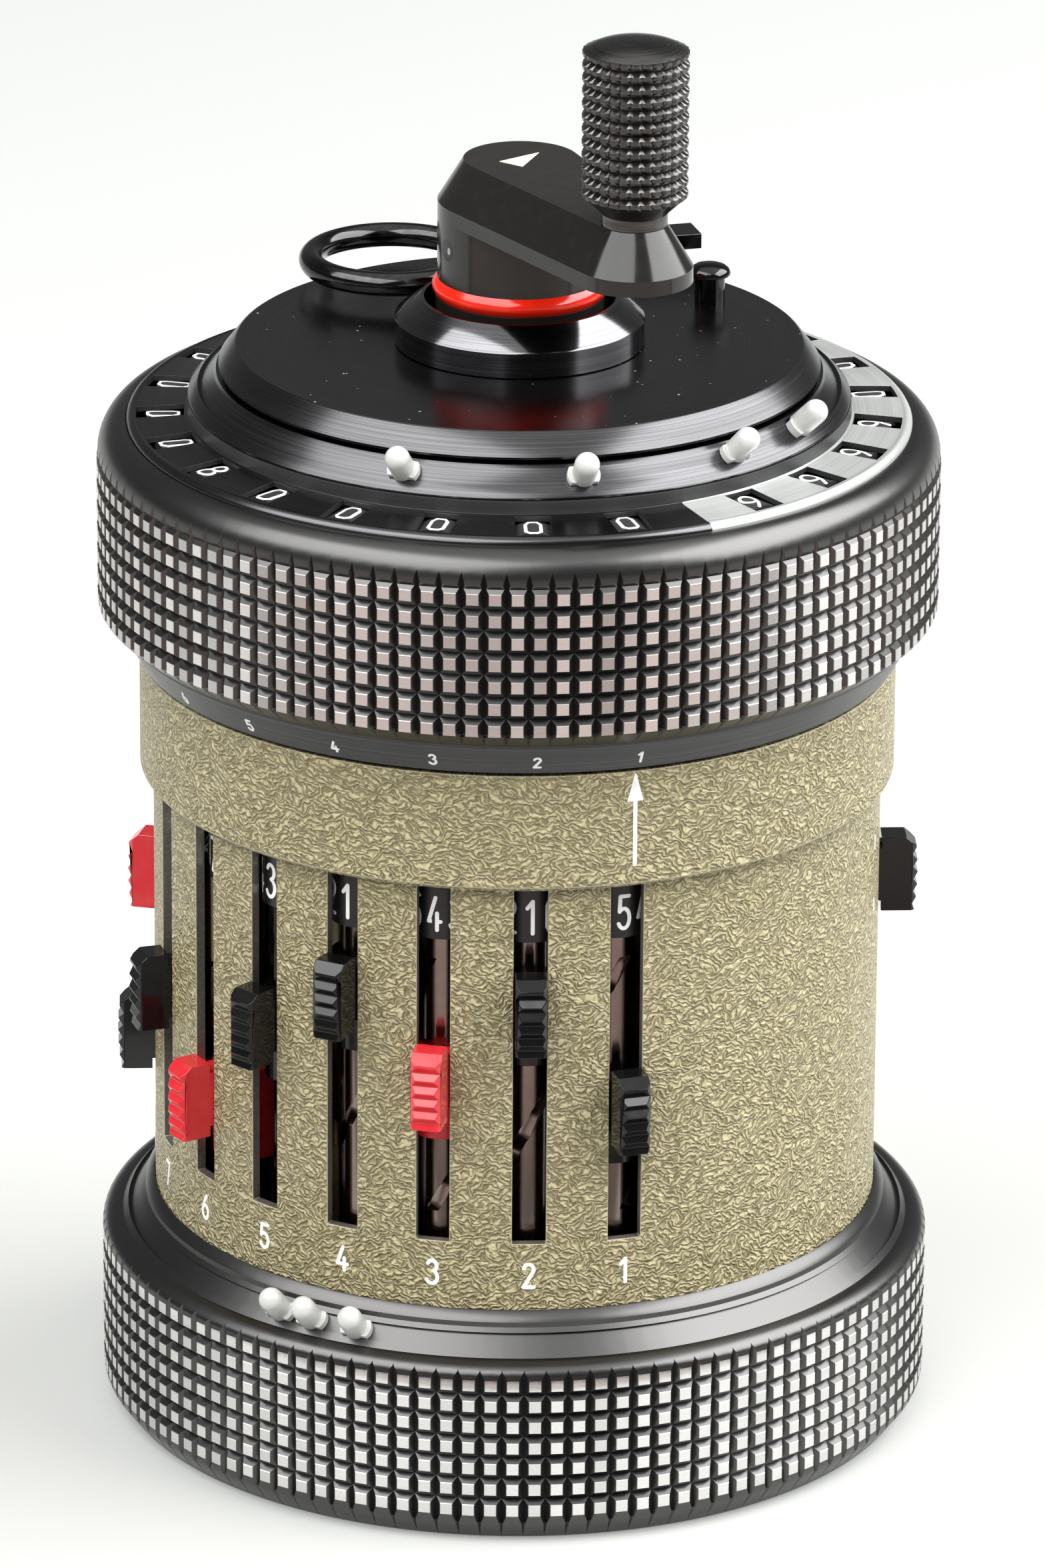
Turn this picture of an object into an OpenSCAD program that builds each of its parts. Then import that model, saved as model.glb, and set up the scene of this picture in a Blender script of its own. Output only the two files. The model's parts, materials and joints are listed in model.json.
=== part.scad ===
// Hand-cranked cylindrical pocket calculator with setting sliders, a lifting carriage,
// a clearing lever and a stepped drum inside.
// Origin: centre of the foot, +Z up. Angles are counted about +Z from the front, which is -Y.

/* [Housing] */
// Outside diameter of the painted housing tube
housing_d = 56.6; // [54:0.1:58]
// Wall of the housing tube
housing_wall = 0.8; // [0.7:0.05:1]
// Length of the housing tube, from its seat in the base ring to its top edge
housing_len = 49.6; // [48.6:0.1:52]
// How far the plain band at the top stands out from the tube
band_proud = 1.0; // [0.6:0.1:1.4]
// Height of the plain band
band_h = 9.3; // [8:0.1:11]

/* [Setting sliders] */
// Angle of the first setting slot from the front
first_angle = 17.3; // [0:0.1:30]
// Angle between neighbouring slots, windows and shafts
pitch_angle = 15; // [14.8:0.1:15]
// Width of a setting slot
slot_w = 2.6; // [2.2:0.1:3]
// Digits that the sliders stand at, first slot first
digits = [5, 1, 4, 1, 3, 7, 4, 7, 2, 0, 0];
// Height of a slider's finger grip
slider_grip_h = 6.1; // [5.8:0.1:6.6]
// How far the finger grips stand out from the housing
slider_proud = 2.9; // [2.2:0.1:3.4]

/* [Setting shafts] */
// Diameter of a setting shaft
setting_shaft_d = 3.8; // [3.4:0.1:4]
// Diameter of the digit drum on a setting shaft
digit_drum_d = 5.4; // [4.8:0.1:5.6]
// Height of the digit drum
digit_drum_h = 4.55; // [4:0.05:5]
// Width of the spiral groove
groove_w = 1.0; // [0.9:0.05:1.2]
// Depth of the spiral groove
groove_depth = 0.5; // [0.4:0.05:0.6]

/* [Base] */
// How far the knurled rings stand out from the housing
grip_proud = 4.2; // [3.9:0.1:4.6]
// How far the foot is set in from the outside of the knurled rings
foot_inset = 1.5; // [1.2:0.1:2.2]
// Height of the shelf in the base ring that carries the housing
base_shelf_h = 12; // [11:0.1:13]
// Wall of the lip that holds the housing
lip_wall = 0.8; // [0.6:0.05:1]
// Thickness of the bottom cover
cover_t = 2; // [1.5:0.1:3]
// Recess of the bottom cover above the foot
cover_recess = 0.5; // [0.3:0.1:1]

/* [Knurling] */
// Rows of lands on a knurled ring
knurl_rows = 7; // [5:1:7]
// Spacing of the rows
knurl_pitch = 1.73; // [1.6:0.01:1.76]
// Height of a land
knurl_land = 0.8; // [0.6:0.05:1]
// Depth of the grooves
knurl_depth = 0.5; // [0.3:0.05:0.6]

/* [Carriage] */
// Height of the index cone under the knurled ring
index_h = 2.45; // [2:0.05:3]
// Height of the knurled ring of the carriage
carriage_grip_h = 16.1; // [15.8:0.1:17]
// Width of a register window
window_w = 2.7; // [2.3:0.1:3]
// Angle of the first counter window past the first result window
counter_gap_angle = 22.5; // [22:0.1:23]
// Diameter of a numeral dial
dial_d = 5.8; // [5:0.1:6]
// Lift of the carriage before it turns
carriage_lift = 3; // [2.5:0.1:3]
// Diameter of the spring wire under the carriage bush
spring_wire_d = 0.9; // [0.7:0.05:1]
// Turns of the carriage spring
spring_turns = 5; // [4:1:6]

/* [Clearing plate] */
// How far the flat top of the clearing plate is set in from the marker ring's outside
plate_inset = 3.7; // [3.4:0.1:4.2]
// Thickness of the clearing plate
plate_t = 1.94; // [1.7:0.02:2.4]
// Width of the bevel round the clearing plate
plate_bevel = 1.3; // [1:0.05:1.4]
// Diameter of the collar round the crank
collar_d = 19.2; // [18.8:0.1:21]
// Height of the straight part of the collar
collar_h = 2.06; // [1.8:0.02:2.4]
// Height of the cone on the collar
collar_cone_h = 1.52; // [1.2:0.02:1.7]
// Radius of the clearing lever's finger ring, to the middle of its wire
ring_r = 6.4; // [6:0.1:7]
// Diameter of the finger ring's wire
ring_wire_d = 1.9; // [1.6:0.1:2]
// Width of the clearing lever's bar
lever_w = 3; // [2.6:0.1:3.2]
// Thickness of the clearing lever's bar
lever_t = 1.2; // [1:0.1:1.4]

/* [Crank] */
// Angle of the crank from the front
crank_angle = 27.4; // [0:0.1:40]
// Distance from the crank's shaft to its knob
crank_r = 18.5; // [17.5:0.1:21]
// Diameter of the crank hub
hub_d = 12.7; // [12:0.1:13]
// Height of the straight part of the crank hub
hub_h = 6.1; // [6:0.1:7]
// Height of the bevel on top of the crank
crank_bevel_h = 3.2; // [2.6:0.1:3.6]
// Diameter of the crank arm at its knob end
arm_end_d = 8.9; // [8.2:0.1:9.4]
// Lift of the crank for subtracting
crank_lift = 3.1; // [2.6:0.1:3.2]
// Diameter of the crank knob
knob_d = 8; // [7.4:0.1:8.8]
// Height of the crank knob with its neck
knob_h = 14.35; // [13:0.05:17]
// Diameter of the main shaft
main_shaft_d = 6; // [5.4:0.1:6.4]
// Diameter of the crank knob's stud
stud_d = 3; // [2.4:0.1:3.4]

/* [Hidden] */

$fn = 64;
// Overlap of pieces that are joined into one solid
eps = 0.01;
// Overrun of a cutting shape past the face that it opens
cut = 1;
// Radial clearance of a shaft in its bearing
run = 0.05;
// Clearance between pieces that slide or lie beside each other
slip = 0.1;
// Clearance between faces that pass each other without touching
pass = 0.3;

// Setting slots, result windows and counter windows
slot_count = 11;
result_count = 15;
counter_count = 8;

housing_r = housing_d / 2;
housing_in = housing_r - housing_wall;
grip_r = housing_r + grip_proud;
foot_r = grip_r - foot_inset;
band_r = housing_r + band_proud;

// Heights of the base and the housing
z_shelf = base_shelf_h;
z_top = z_shelf + housing_len;
z_band = z_top - band_h;
band_edge = 0.3;
slot_top = z_band - slip;
plate_seat_depth = 4.1;
bearing_t = 2.5;
z_lower = z_shelf + bearing_t;
z_upper = z_top - plate_seat_depth;
upper_plate_t = 3.8;
upper_plate_top = z_upper + upper_plate_t;
plate_ledge = 0.7;
upper_plate_r = housing_in + plate_ledge - run;
lower_plate_r = housing_in - slip;
hole_floor = 0.6;
pivot_reach = 2.5;
z_pivot = z_shelf + hole_floor + slip;
pivot_len = z_upper + pivot_reach - z_pivot;

// Setting shafts and transmission shafts
setting_r = housing_in - 2 * slip - digit_drum_d / 2;
sleeve_r = digit_drum_d / 2 - slip;
setting_shaft_r = setting_shaft_d / 2;
pivot_r = 0.8;
pinion_offset = 5.7;
transmission_r = setting_r - pinion_offset;
pinion_r = 2.0;
pinion_root_r = 1.55;
pinion_teeth = 10;
pinion_t = 1.3;
pinion_flange_t = 0.5;
yoke_t = 1.2;
yoke_r = 2.0;
pinion_hub_r = 1.2;
slot_end = 0.4;
z_drum_top = z_band - pass;
z_drum = z_drum_top - digit_drum_h;
sleeve_up = 2.2;
sleeve_down = 5.2;
neck_h = 4.4;
neck_w = slot_w - 2 * slip;
wheel_hub_h = 5.4;
z_wheel = z_lower + slip;
z_drum_body = z_wheel + wheel_hub_h + crank_lift + pass;
// The sliders travel between the foot of the stepped drum and the digit drums
nine_rise = 2.35;
z_zero = z_drum - sleeve_up - 2 * pass;
z_nine = z_drum_body + nine_rise;
digit_step = (z_zero - z_nine) / 9;
slot_bottom = z_nine - neck_h / 2 - slot_end;
lead = 10 * digit_step;
groove_run = 0.9;
groove_slices = 28;
guide_pin_r = 0.38;
grip_gap = 0.2;
slider_ridges = 5;
slider_taper = 0.9;
slider_side_bevel = 0.5;
slider_top_bevel = 0.75;
ridge_pitch = (slider_grip_h - slider_top_bevel - 2 * slip) / slider_ridges;
ridge_depth = 0.35;
grip_bulge = 0.25;
grip_root = 0.5;
carry_drop = 4.5;

// Reversing lever
reversing_angle = first_angle + 5 * pitch_angle;
reversing_drop = 1.95;
reversing_z = z_zero - reversing_drop;
reversing_travel = 5;
reversing_slot_h = reversing_travel + neck_h + 2 * slot_end;
reversing_slot_z = reversing_z + neck_h / 2 + slot_end - reversing_slot_h;
reversing_plate_w = 5;
reversing_plate_t = 1.0;
reversing_plate_gap = 0.4;

// Marker pins and their tracks
marker_tilt = 45;
marker_collar_r = 1.25;
marker_collar_half_w = 0.7;
marker_pin_r = 0.95;
marker_pin_h = 1.9;
marker_collar_h = 0.6;
marker_collar_sunk = 0.25;
marker_shank_r = 0.3;
marker_shank_h = 1.0;
base_marker_angles = [-36.5, -31, -23.6];
carriage_marker_angles = [-20.8, 11.5, 42.2, 61.3];

// Base ring
lip_r = housing_r + lip_wall;
base_track_out = 0.85;
base_track_h = 3.75;
base_track_r = lip_r + base_track_out;
z_base_track = z_shelf + base_track_h;
base_track_drop = 0.95;
lip_h = 5.05;
z_lip = z_shelf + lip_h;
lip_bevel = 0.7;
foot_chamfer_h = 1.7;
base_knurl_z = 2.75;
shelf_w = 2;
base_inner_r = housing_in - pass;
shelf_inner_r = base_inner_r - shelf_w;
shelf_t = 2;
cover_seat_w = 0.9;
cover_r = base_inner_r + cover_seat_w;
z_cover_top = cover_recess + cover_t;
screw_boss_r = 2.6;
screw_boss_sunk = 0.4;
cover_screw_r = base_inner_r - screw_boss_r + screw_boss_sunk;
screw_angles = [60, 180, 300];
screw_slot_w = 0.4;
screw_slot_depth = 0.35;
screw_shank_r = 0.8;
screw_head_r = 1.6;
screw_len = 6;

// Crank, main shaft and stepped drum
main_r = main_shaft_d / 2;
wheel_r = 9;
wheel_t = 2.5;
wheel_hub_r = 5;
ratchet_teeth = 20;
ratchet_tooth_h = 0.9;
ratchet_rise = 0.12;
pawl_angle = 200;
pawl_offset = 3.2;
pawl_t = 2.0;
pawl_half_w = 1.2;
pawl_tip = [4.4, 3.9];
shaft_tail = 3.5;
key_w = 1.2;
key_h = 0.8;
z_key = z_wheel + crank_lift + 2 * slip;
key_len = 4.6;
drum_tooth_gap = 0.4;
drum_tip_r = transmission_r - pinion_r - drum_tooth_gap;
drum_tooth_h = 1.8;
drum_r = drum_tip_r - drum_tooth_h;
drum_shell = 2;
drum_hub_t = 4;
drum_tooth_pitch = 6;
drum_tooth_w = 0.7;
drum_tooth_t = 1.0;
drum_top_margin = 2.6;

// Carriage
carriage_gap = 0.35;
z_car = z_top + carriage_gap;
z_index_top = z_car + index_h;
index_r0 = band_r + 2 * slip;
index_flare = 1.4;
index_skirt_t = 1.1;
index_r1 = index_r0 + index_flare;
z_grip = z_index_top + 2 * slip;
z_grip_top = z_grip + carriage_grip_h;
carriage_floor_t = 1.95;
carriage_skirt_h = 1.6;
z_floor = z_car + carriage_skirt_h;
bush_flange_r = 10;
bush_r = 8.6;
column_r = 5;
bush_bore_r = column_r + run;
well_r = 7.4;
z_bush = upper_plate_top + run;
bush_seat_h = 9.65;
z_bush_seat = z_bush + bush_seat_h;
wall_rise = 1.3;
z_wall_top = z_grip_top + wall_rise;
carriage_hub_r = 11.2;
grip_seat_w = 1.35;
grip_bore_r = index_r1 - grip_seat_w;
grip_ledge_in = 0.65;
grip_ledge_t = 0.8;
window_rim_seat = 0.15;
window_rim_r = grip_bore_r + window_rim_seat;
window_rim_t = 1.0;
z_window = z_grip_top - window_rim_t + run;
window_ring_w = 4.2;
window_in_r = window_rim_r - window_ring_w;
marker_ring_r = window_in_r;
drum_wall_inset = 4.9;
drum_wall_t = 2;
drum_wall_r1 = marker_ring_r - drum_wall_inset;
drum_wall_r0 = drum_wall_r1 - drum_wall_t;
window_wall = 0.9;
window_slope = 0.3;
window_t = 0.4;
window_margin_in = 0.5;
window_margin_out = 0.85;
window_r0 = window_in_r + window_margin_in;
window_r1 = window_rim_r - window_margin_out;
dial_recess = 0.1;
z_dial = z_grip_top + run - dial_recess - dial_d / 2;
dial_r0 = window_r0;
dial_margin = 0.25;
dial_r1 = window_r1 - dial_margin;
dial_gear_gap = 1.4;
dial_gear_r0 = drum_wall_r1 + dial_gear_gap;
dial_gear_t = 1.8;
dial_hub_r = 1.4;
axle_r = 0.6;
axle_end_r = grip_bore_r - pass / 2;
z_marker_ring = z_wall_top;
track_rise = 1.5;
track_in = 1.3;
track_z = z_marker_ring + track_rise;
track_r = marker_ring_r - track_in;
marker_ring_h = 2.2;
column_head_h = 1.5;
spring_slack = 2.5;
spring_len = (spring_turns + 1) * spring_wire_d + carriage_lift + spring_slack;
z_column_top = z_bush_seat + spring_len + column_head_h;
column_head_r = 6.9;
column_flange_r = 7;
column_flange_t = 1.95;
spring_rings = 8;
spring_sides = 6;

// Clearing plate, lever and crank heights
z_plate = z_marker_ring + marker_ring_h + 2 * slip;
z_plate_top = z_plate + plate_t;
z_collar = z_plate_top + run;
z_collar_top = z_collar + collar_h + collar_cone_h;
collar_bore_r = well_r - run;
collar_lip = 0.25;
collar_top_r = collar_bore_r + collar_lip;
plate_r = marker_ring_r - plate_inset;
plate_edge_r = plate_r + plate_bevel;
plate_rim_h = 0.23;
red_band_gap = 0.25;
z_red = z_collar_top + red_band_gap;
red_band_h = 1.43;
red_band_proud = 0.4;
red_band_steps = 6;
hub_core_r = 6;
hub_skirt_r = 6.5;
z_skirt = z_column_top + crank_lift + pass;
z_hub = z_red + red_band_h;
z_arm_top = z_hub + hub_h;
arm_rim_h = 1.2;
arm_bevel_w = 1.95;
z_crank_top = z_arm_top + crank_bevel_h;
hub_r = hub_d / 2;
arm_end_r = arm_end_d / 2;
stud_r = stud_d / 2;
lever_ring_gap = 0.443;
lever_ring_dir = [-0.56919, 0.82217];
lever_ring_at = (collar_d / 2 + lever_ring_gap + ring_r + ring_wire_d / 2) * lever_ring_dir;
lever_tip = plate_r * [0.633028, 0.958716];
lever_pivot_share = 0.692;
lever_pivot = lever_ring_at + lever_pivot_share * (lever_tip - lever_ring_at);
lever_angle = atan2(lever_tip[1] - lever_ring_at[1], lever_tip[0] - lever_ring_at[0]);
lever_len = norm(lever_tip - lever_ring_at);
lever_post_h = 1.25;
lever_post_r = 1.6;
lever_pin_r = 1.0;
z_lever = z_plate_top + lever_post_h + run;
catch_at = plate_r * [0.674312, 0.458716];
catch_stem_r = 1.2;
catch_stem_h = 2.2;
catch_head_r = 1.62;
pin_depth = 1.4;
rivet_head_h = 0.5;
rivet_chamfer = 0.3;
catch_rim_h = 0.45;
catch_dome_h = 0.5;
catch_top_r = 0.9;

// Crank knob
knob_neck_r = 2.5;
knob_neck_h = 1.45;
knob_flare_h = 0.6;
knob_dome_h = 0.6;
knob_rows = 12;
knob_groove = 0.3;
knob_cap_t = 3;
knob_bore_h = knob_h - knob_cap_t;
shaft_cap_t = 0.7;

// Where the counter's part of the window ring starts and ends
counter_start = first_angle + counter_gap_angle / 2;
counter_end = (counter_angle(counter_count) + slot_angle(result_count) + 360) / 2;

function two_digits(i) = i < 10 ? str("0", i) : str(i);
function slot_angle(i) = first_angle - pitch_angle * (i - 1);
function counter_angle(i) = first_angle + counter_gap_angle + pitch_angle * (i - 1);
function slider_z(i) = z_zero - digit_step * digits[i - 1];
function result_angles() = [for (i = [1:result_count]) slot_angle(i)];
function counter_angles() = [for (i = [1:counter_count]) counter_angle(i)];
// Points of a quarter arc that turns from the outside face over to the top face
function shoulder(r0, z0, dr, dz, steps) =
    [for (k = [0:steps]) [r0 - dr * (1 - cos(90 * k / steps)), z0 + dz * sin(90 * k / steps)]];
// Points up the outside of a knurled ring: lands with V grooves between them
function knurl_profile(r, z0) =
    [for (k = [0:knurl_rows - 1], p = [0:2])
        p == 0 ? [r, z0 + k * knurl_pitch - knurl_land / 2]
        : p == 1 ? [r, z0 + k * knurl_pitch + knurl_land / 2]
        : [r - knurl_depth, z0 + (k + 0.5) * knurl_pitch]];

// A closed solid through a list of rings, each with the same number of points
module swept(rings) {
    sides = len(rings[0]);
    last = (len(rings) - 1) * sides;
    walls = [for (k = [0:len(rings) - 2], s = [0:sides - 1], half = [0, 1])
        let (a = k * sides + s, b = k * sides + (s + 1) % sides)
        half == 0 ? [a, b, b + sides] : [a, b + sides, a + sides]];
    ends = [for (s = [1:sides - 2], half = [0, 1])
        half == 0 ? [0, s + 1, s] : [last, last + s, last + s + 1]];
    polyhedron([for (ring = rings, p = ring) p], concat(walls, ends));
}

module around(angle) {
    rotate([0, 0, angle])
        children();
}

module ring_of(angles) {
    for (a = angles)
        around(a)
            children();
}

// A small spur gear on +Z, with straight tapering teeth
module pinion_gear(teeth, r_tip, r_root, t, bore) {
    tooth_half = 180 / teeth;
    difference() {
        linear_extrude(t)
            polygon([for (k = [0:teeth - 1], p = [-0.7, -0.3, 0.3, 0.7])
                let (a = 2 * tooth_half * k + p * tooth_half, r = abs(p) < 0.5 ? r_tip : r_root)
                [r * cos(a), r * sin(a)]]);
        translate([0, 0, -eps])
            cylinder(r = bore, h = t + 2 * eps);
    }
}

// The channel that a marker pin slides in, cut square to a sloping face
module marker_track(r, z) {
    width = 2 * (marker_collar_half_w + run);
    shank_width = 2 * (marker_shank_r + slip);
    rotate_extrude($fn = 128)
        translate([r, z])
            rotate(-marker_tilt)
                union() {
                    translate([-width / 2, -marker_collar_sunk - run])
                        square([width, marker_collar_sunk + 2]);
                    translate([-shank_width / 2, -marker_shank_h - slip])
                        square([shank_width, marker_shank_h + slip]);
                }
}

module marker_pin(r, z, angle) {
    around(angle)
        translate([0, -r, z])
            rotate([marker_tilt, 0, 0]) {
                translate([0, 0, -marker_collar_sunk])
                    intersection() {
                        cylinder(r = marker_collar_r, h = marker_collar_h, $fn = 32);
                        translate([-marker_collar_r, -marker_collar_half_w, 0])
                            cube([2 * marker_collar_r, 2 * marker_collar_half_w, marker_collar_h]);
                    }
                translate([0, 0, -marker_shank_h])
                    cylinder(r = marker_shank_r, h = marker_shank_h, $fn = 24);
                cylinder(r = marker_pin_r, h = marker_pin_h, $fn = 32);
                translate([0, 0, marker_pin_h])
                    sphere(r = marker_pin_r, $fn = 32);
            }
}

// A finger grip with sawtooth ridges, with its back at y = -r and its middle at height z
module finger_grip(r, z, h, w, proud) {
    front = proud - grip_bulge;
    function face(at) = front + grip_bulge * (1 - pow(2 * at / h, 2));
    outline = concat(
        [[0, -h / 2]],
        [for (k = [0:slider_ridges - 1], p = [0, 1])
            let (at = -h / 2 + ridge_pitch * (k + p))
            [face(at) - p * ridge_depth, at]],
        [[face(h / 2 - slider_top_bevel), -h / 2 + ridge_pitch * slider_ridges],
            [face(h / 2 - slider_top_bevel), h / 2 - slider_top_bevel],
            [front - slider_top_bevel, h / 2], [0, h / 2]]);
    narrow = w / 2 - slider_taper / 2;
    translate([0, -r, z])
        intersection() {
            rotate([90, 0, -90])
                translate([0, 0, -w / 2])
                    linear_extrude(w)
                        polygon(outline);
            translate([0, 0, -h])
                linear_extrude(2 * h)
                    polygon([[-w / 2, eps], [-w / 2, slider_side_bevel - proud], [-narrow, -proud - eps],
                        [narrow, -proud - eps], [w / 2, slider_side_bevel - proud], [w / 2, eps]]);
        }
}

module housing() {
    color([0.44, 0.42, 0.34])
        difference() {
            // The tube's seam is at the back, clear of the slots
            around(90)
                rotate_extrude($fn = 128)
                    polygon([[housing_in, z_shelf], [housing_r, z_shelf], [housing_r, z_band],
                        [band_r - band_edge, z_band], [band_r, z_band + band_edge],
                        [band_r, z_top - band_edge], [band_r - band_edge, z_top],
                        [housing_in + plate_ledge, z_top],
                        [housing_in + plate_ledge, z_upper], [housing_in, z_upper]]);
            for (i = [1:slot_count])
                around(slot_angle(i))
                    translate([-slot_w / 2, -band_r - cut, slot_bottom])
                        cube([slot_w, housing_wall + band_proud + 2 * cut, slot_top - slot_bottom]);
            around(reversing_angle)
                translate([-slot_w / 2, -band_r - cut, reversing_slot_z])
                    cube([slot_w, housing_wall + band_proud + 2 * cut, reversing_slot_h]);
        }
}

module base_ring() {
    ring_top = base_knurl_z + (knurl_rows - 1) * knurl_pitch + knurl_land / 2;
    track_line = base_track_r + z_base_track;
    track_out = base_track_r + base_track_drop;
    color([0.05, 0.05, 0.055])
        difference() {
            union() {
                rotate_extrude($fn = 128)
                    polygon(concat(
                        [[cover_r + run, 0], [foot_r, 0], [grip_r - 0.1, foot_chamfer_h]],
                        knurl_profile(grip_r, base_knurl_z),
                        shoulder(grip_r, ring_top + 0.3, grip_r - track_out,
                            track_line - track_out - ring_top - 0.3, 5),
                        [[lip_r, track_line - lip_r], [lip_r, z_lip], [lip_r - lip_bevel, z_lip + lip_bevel],
                            [housing_r + run, z_lip + lip_bevel], [housing_r + run, z_shelf],
                            [shelf_inner_r, z_shelf], [shelf_inner_r, z_shelf - shelf_t],
                            [base_inner_r, z_shelf - shelf_t], [base_inner_r, z_cover_top],
                            [cover_r + run, z_cover_top]]));
                ring_of(screw_angles)
                    translate([0, -cover_screw_r, z_cover_top])
                        cylinder(r = screw_boss_r, h = z_shelf - z_cover_top - shelf_t / 2);
            }
            marker_track(base_track_r, z_base_track);
            ring_of(screw_angles)
                translate([0, -cover_screw_r, z_cover_top - cut])
                    cylinder(r = screw_shank_r + run, h = screw_len + cut, $fn = 24);
        }
}

module bottom_cover() {
    color([0.07, 0.07, 0.075])
        difference() {
            translate([0, 0, cover_recess])
                cylinder(r = cover_r, h = cover_t, $fn = 128);
            ring_of(screw_angles)
                translate([0, -cover_screw_r, 0]) {
                    cylinder(r = screw_shank_r + run, h = z_cover_top + cut, $fn = 24);
                    translate([0, 0, cover_recess - eps])
                        cylinder(r1 = screw_head_r + run, r2 = screw_shank_r + run,
                            h = screw_head_r - screw_shank_r);
                }
        }
}

module bottom_screws() {
    color([0.6, 0.6, 0.6])
        ring_of(screw_angles)
            translate([0, -cover_screw_r, cover_recess])
                difference() {
                    union() {
                        cylinder(r1 = screw_head_r, r2 = screw_shank_r, h = screw_head_r - screw_shank_r);
                        cylinder(r = screw_shank_r, h = screw_len, $fn = 24);
                    }
                    translate([-screw_head_r - cut, -screw_slot_w / 2, -eps])
                        cube([2 * (screw_head_r + cut), screw_slot_w, screw_slot_depth]);
                }
}

module lower_bearing_plate() {
    color([0.72, 0.66, 0.5])
        difference() {
            translate([0, 0, z_shelf])
                cylinder(r = lower_plate_r, h = bearing_t, $fn = 128);
            translate([0, 0, z_shelf - cut])
                cylinder(r = main_r + run, h = bearing_t + 2 * cut);
            shaft_holes(z_shelf + hole_floor, bearing_t);
            pawl_place()
                translate([0, 0, z_shelf + hole_floor])
                    cylinder(r = pivot_r + run, h = bearing_t, $fn = 24);
        }
}

// Bearing holes for the setting shafts and the transmission shafts
module shaft_holes(z, h) {
    ring_of([for (i = [1:slot_count]) slot_angle(i)])
        translate([0, -setting_r, z])
            cylinder(r = pivot_r + run, h = h, $fn = 24);
    transmission_places()
        translate([0, 0, z])
            cylinder(r = pivot_r + run, h = h, $fn = 24);
}

module transmission_places() {
    ring_of(concat(result_angles(), counter_angles()))
        translate([0, -transmission_r, 0])
            children();
}

module upper_bearing_plate() {
    color([0.72, 0.66, 0.5])
        difference() {
            translate([0, 0, z_upper])
                cylinder(r = upper_plate_r, h = upper_plate_t, $fn = 128);
            translate([0, 0, z_upper - cut])
                cylinder(r = column_r + run, h = upper_plate_t + 2 * cut);
            shaft_holes(z_upper - cut, pivot_reach + pass + cut);
        }
}

module centre_column() {
    color([0.66, 0.66, 0.67])
        difference() {
            union() {
                translate([0, 0, z_upper - column_flange_t])
                    cylinder(r = column_flange_r, h = column_flange_t);
                translate([0, 0, z_upper - eps])
                    cylinder(r = column_r, h = z_column_top - z_upper);
                translate([0, 0, z_column_top - column_head_h])
                    cylinder(r = column_head_r, h = column_head_h);
            }
            translate([0, 0, z_upper - column_flange_t - cut])
                cylinder(r = main_r + run, h = z_column_top);
        }
}

module transmission_shafts() {
    carry_z = z_upper - carry_drop;
    color([0.6, 0.58, 0.52])
        transmission_places() {
            translate([0, 0, z_pivot])
                cylinder(r = pivot_r, h = pivot_len, $fn = 24);
            translate([0, 0, carry_z])
                pinion_gear(pinion_teeth, pinion_r, pinion_root_r, pinion_t, pivot_r - slip);
        }
}

// The pawl's pivot, beside the ratchet wheel
module pawl_place() {
    around(pawl_angle)
        translate([0, -wheel_r - pawl_offset, 0])
            children();
}

module ratchet_pawl() {
    w = pawl_half_w;
    color([0.55, 0.53, 0.5])
        pawl_place() {
            translate([0, 0, z_pivot])
                cylinder(r = pivot_r, h = z_wheel + wheel_t - z_pivot, $fn = 24);
            translate([0, 0, z_wheel])
                linear_extrude(pawl_t)
                    polygon([[-w, -w], [w, -w], [pawl_tip[0], pawl_tip[1] - w], pawl_tip, [w / 2, w],
                        [-w, w]]);
        }
}

module setting_slider(i) {
    z = slider_z(i);
    slider_r = housing_r + grip_gap;
    pin_start = setting_shaft_r - groove_depth + slip;
    color(i % 3 == 0 ? [0.5, 0.03, 0.03] : [0.04, 0.04, 0.045])
        around(slot_angle(i)) {
            difference() {
                union() {
                    finger_grip(slider_r, z, slider_grip_h, neck_w, slider_proud - grip_gap);
                    translate([-neck_w / 2, -slider_r - grip_root, z - neck_h / 2])
                        cube([neck_w, slider_r + grip_root - setting_r, neck_h]);
                    translate([0, -setting_r, z - sleeve_down])
                        cylinder(r = sleeve_r, h = sleeve_up + sleeve_down, $fn = 48);
                    translate([-yoke_r / 2, -setting_r, z - yoke_t / 2])
                        cube([yoke_r, pinion_offset, yoke_t]);
                    translate([0, -transmission_r, z - yoke_t / 2])
                        cylinder(r = yoke_r, h = yoke_t, $fn = 32);
                }
                translate([0, -setting_r, z - sleeve_down - cut])
                    cylinder(r = setting_shaft_r + run, h = sleeve_up + sleeve_down + 2 * cut, $fn = 48);
                translate([0, -transmission_r, z - yoke_t])
                    cylinder(r = pinion_hub_r + run, h = 2 * yoke_t, $fn = 32);
            }
            // The pin that follows the spiral groove, on the side away from the slot
            translate([0, -setting_r + pin_start, z])
                rotate([-90, 0, 0])
                    cylinder(r = guide_pin_r, h = sleeve_r - 2 * slip - pin_start, $fn = 24);
            translate([0, -transmission_r, z])
                sliding_pinion();
        }
}

// The pinion that a slider carries along its transmission shaft
module sliding_pinion() {
    hub_half = yoke_t / 2 + slip;
    difference() {
        union() {
            translate([0, 0, -hub_half - pinion_t])
                pinion_gear(pinion_teeth, pinion_r, pinion_root_r, pinion_t, pivot_r + run);
            translate([0, 0, -hub_half - eps])
                cylinder(r = pinion_hub_r, h = 2 * hub_half + 2 * eps, $fn = 32);
            translate([0, 0, hub_half])
                cylinder(r = pinion_root_r, h = pinion_flange_t, $fn = 32);
        }
        translate([0, 0, -hub_half - pinion_t - cut])
            cylinder(r = pivot_r + run, h = 2 * (hub_half + pinion_t + cut), $fn = 24);
    }
}

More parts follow.
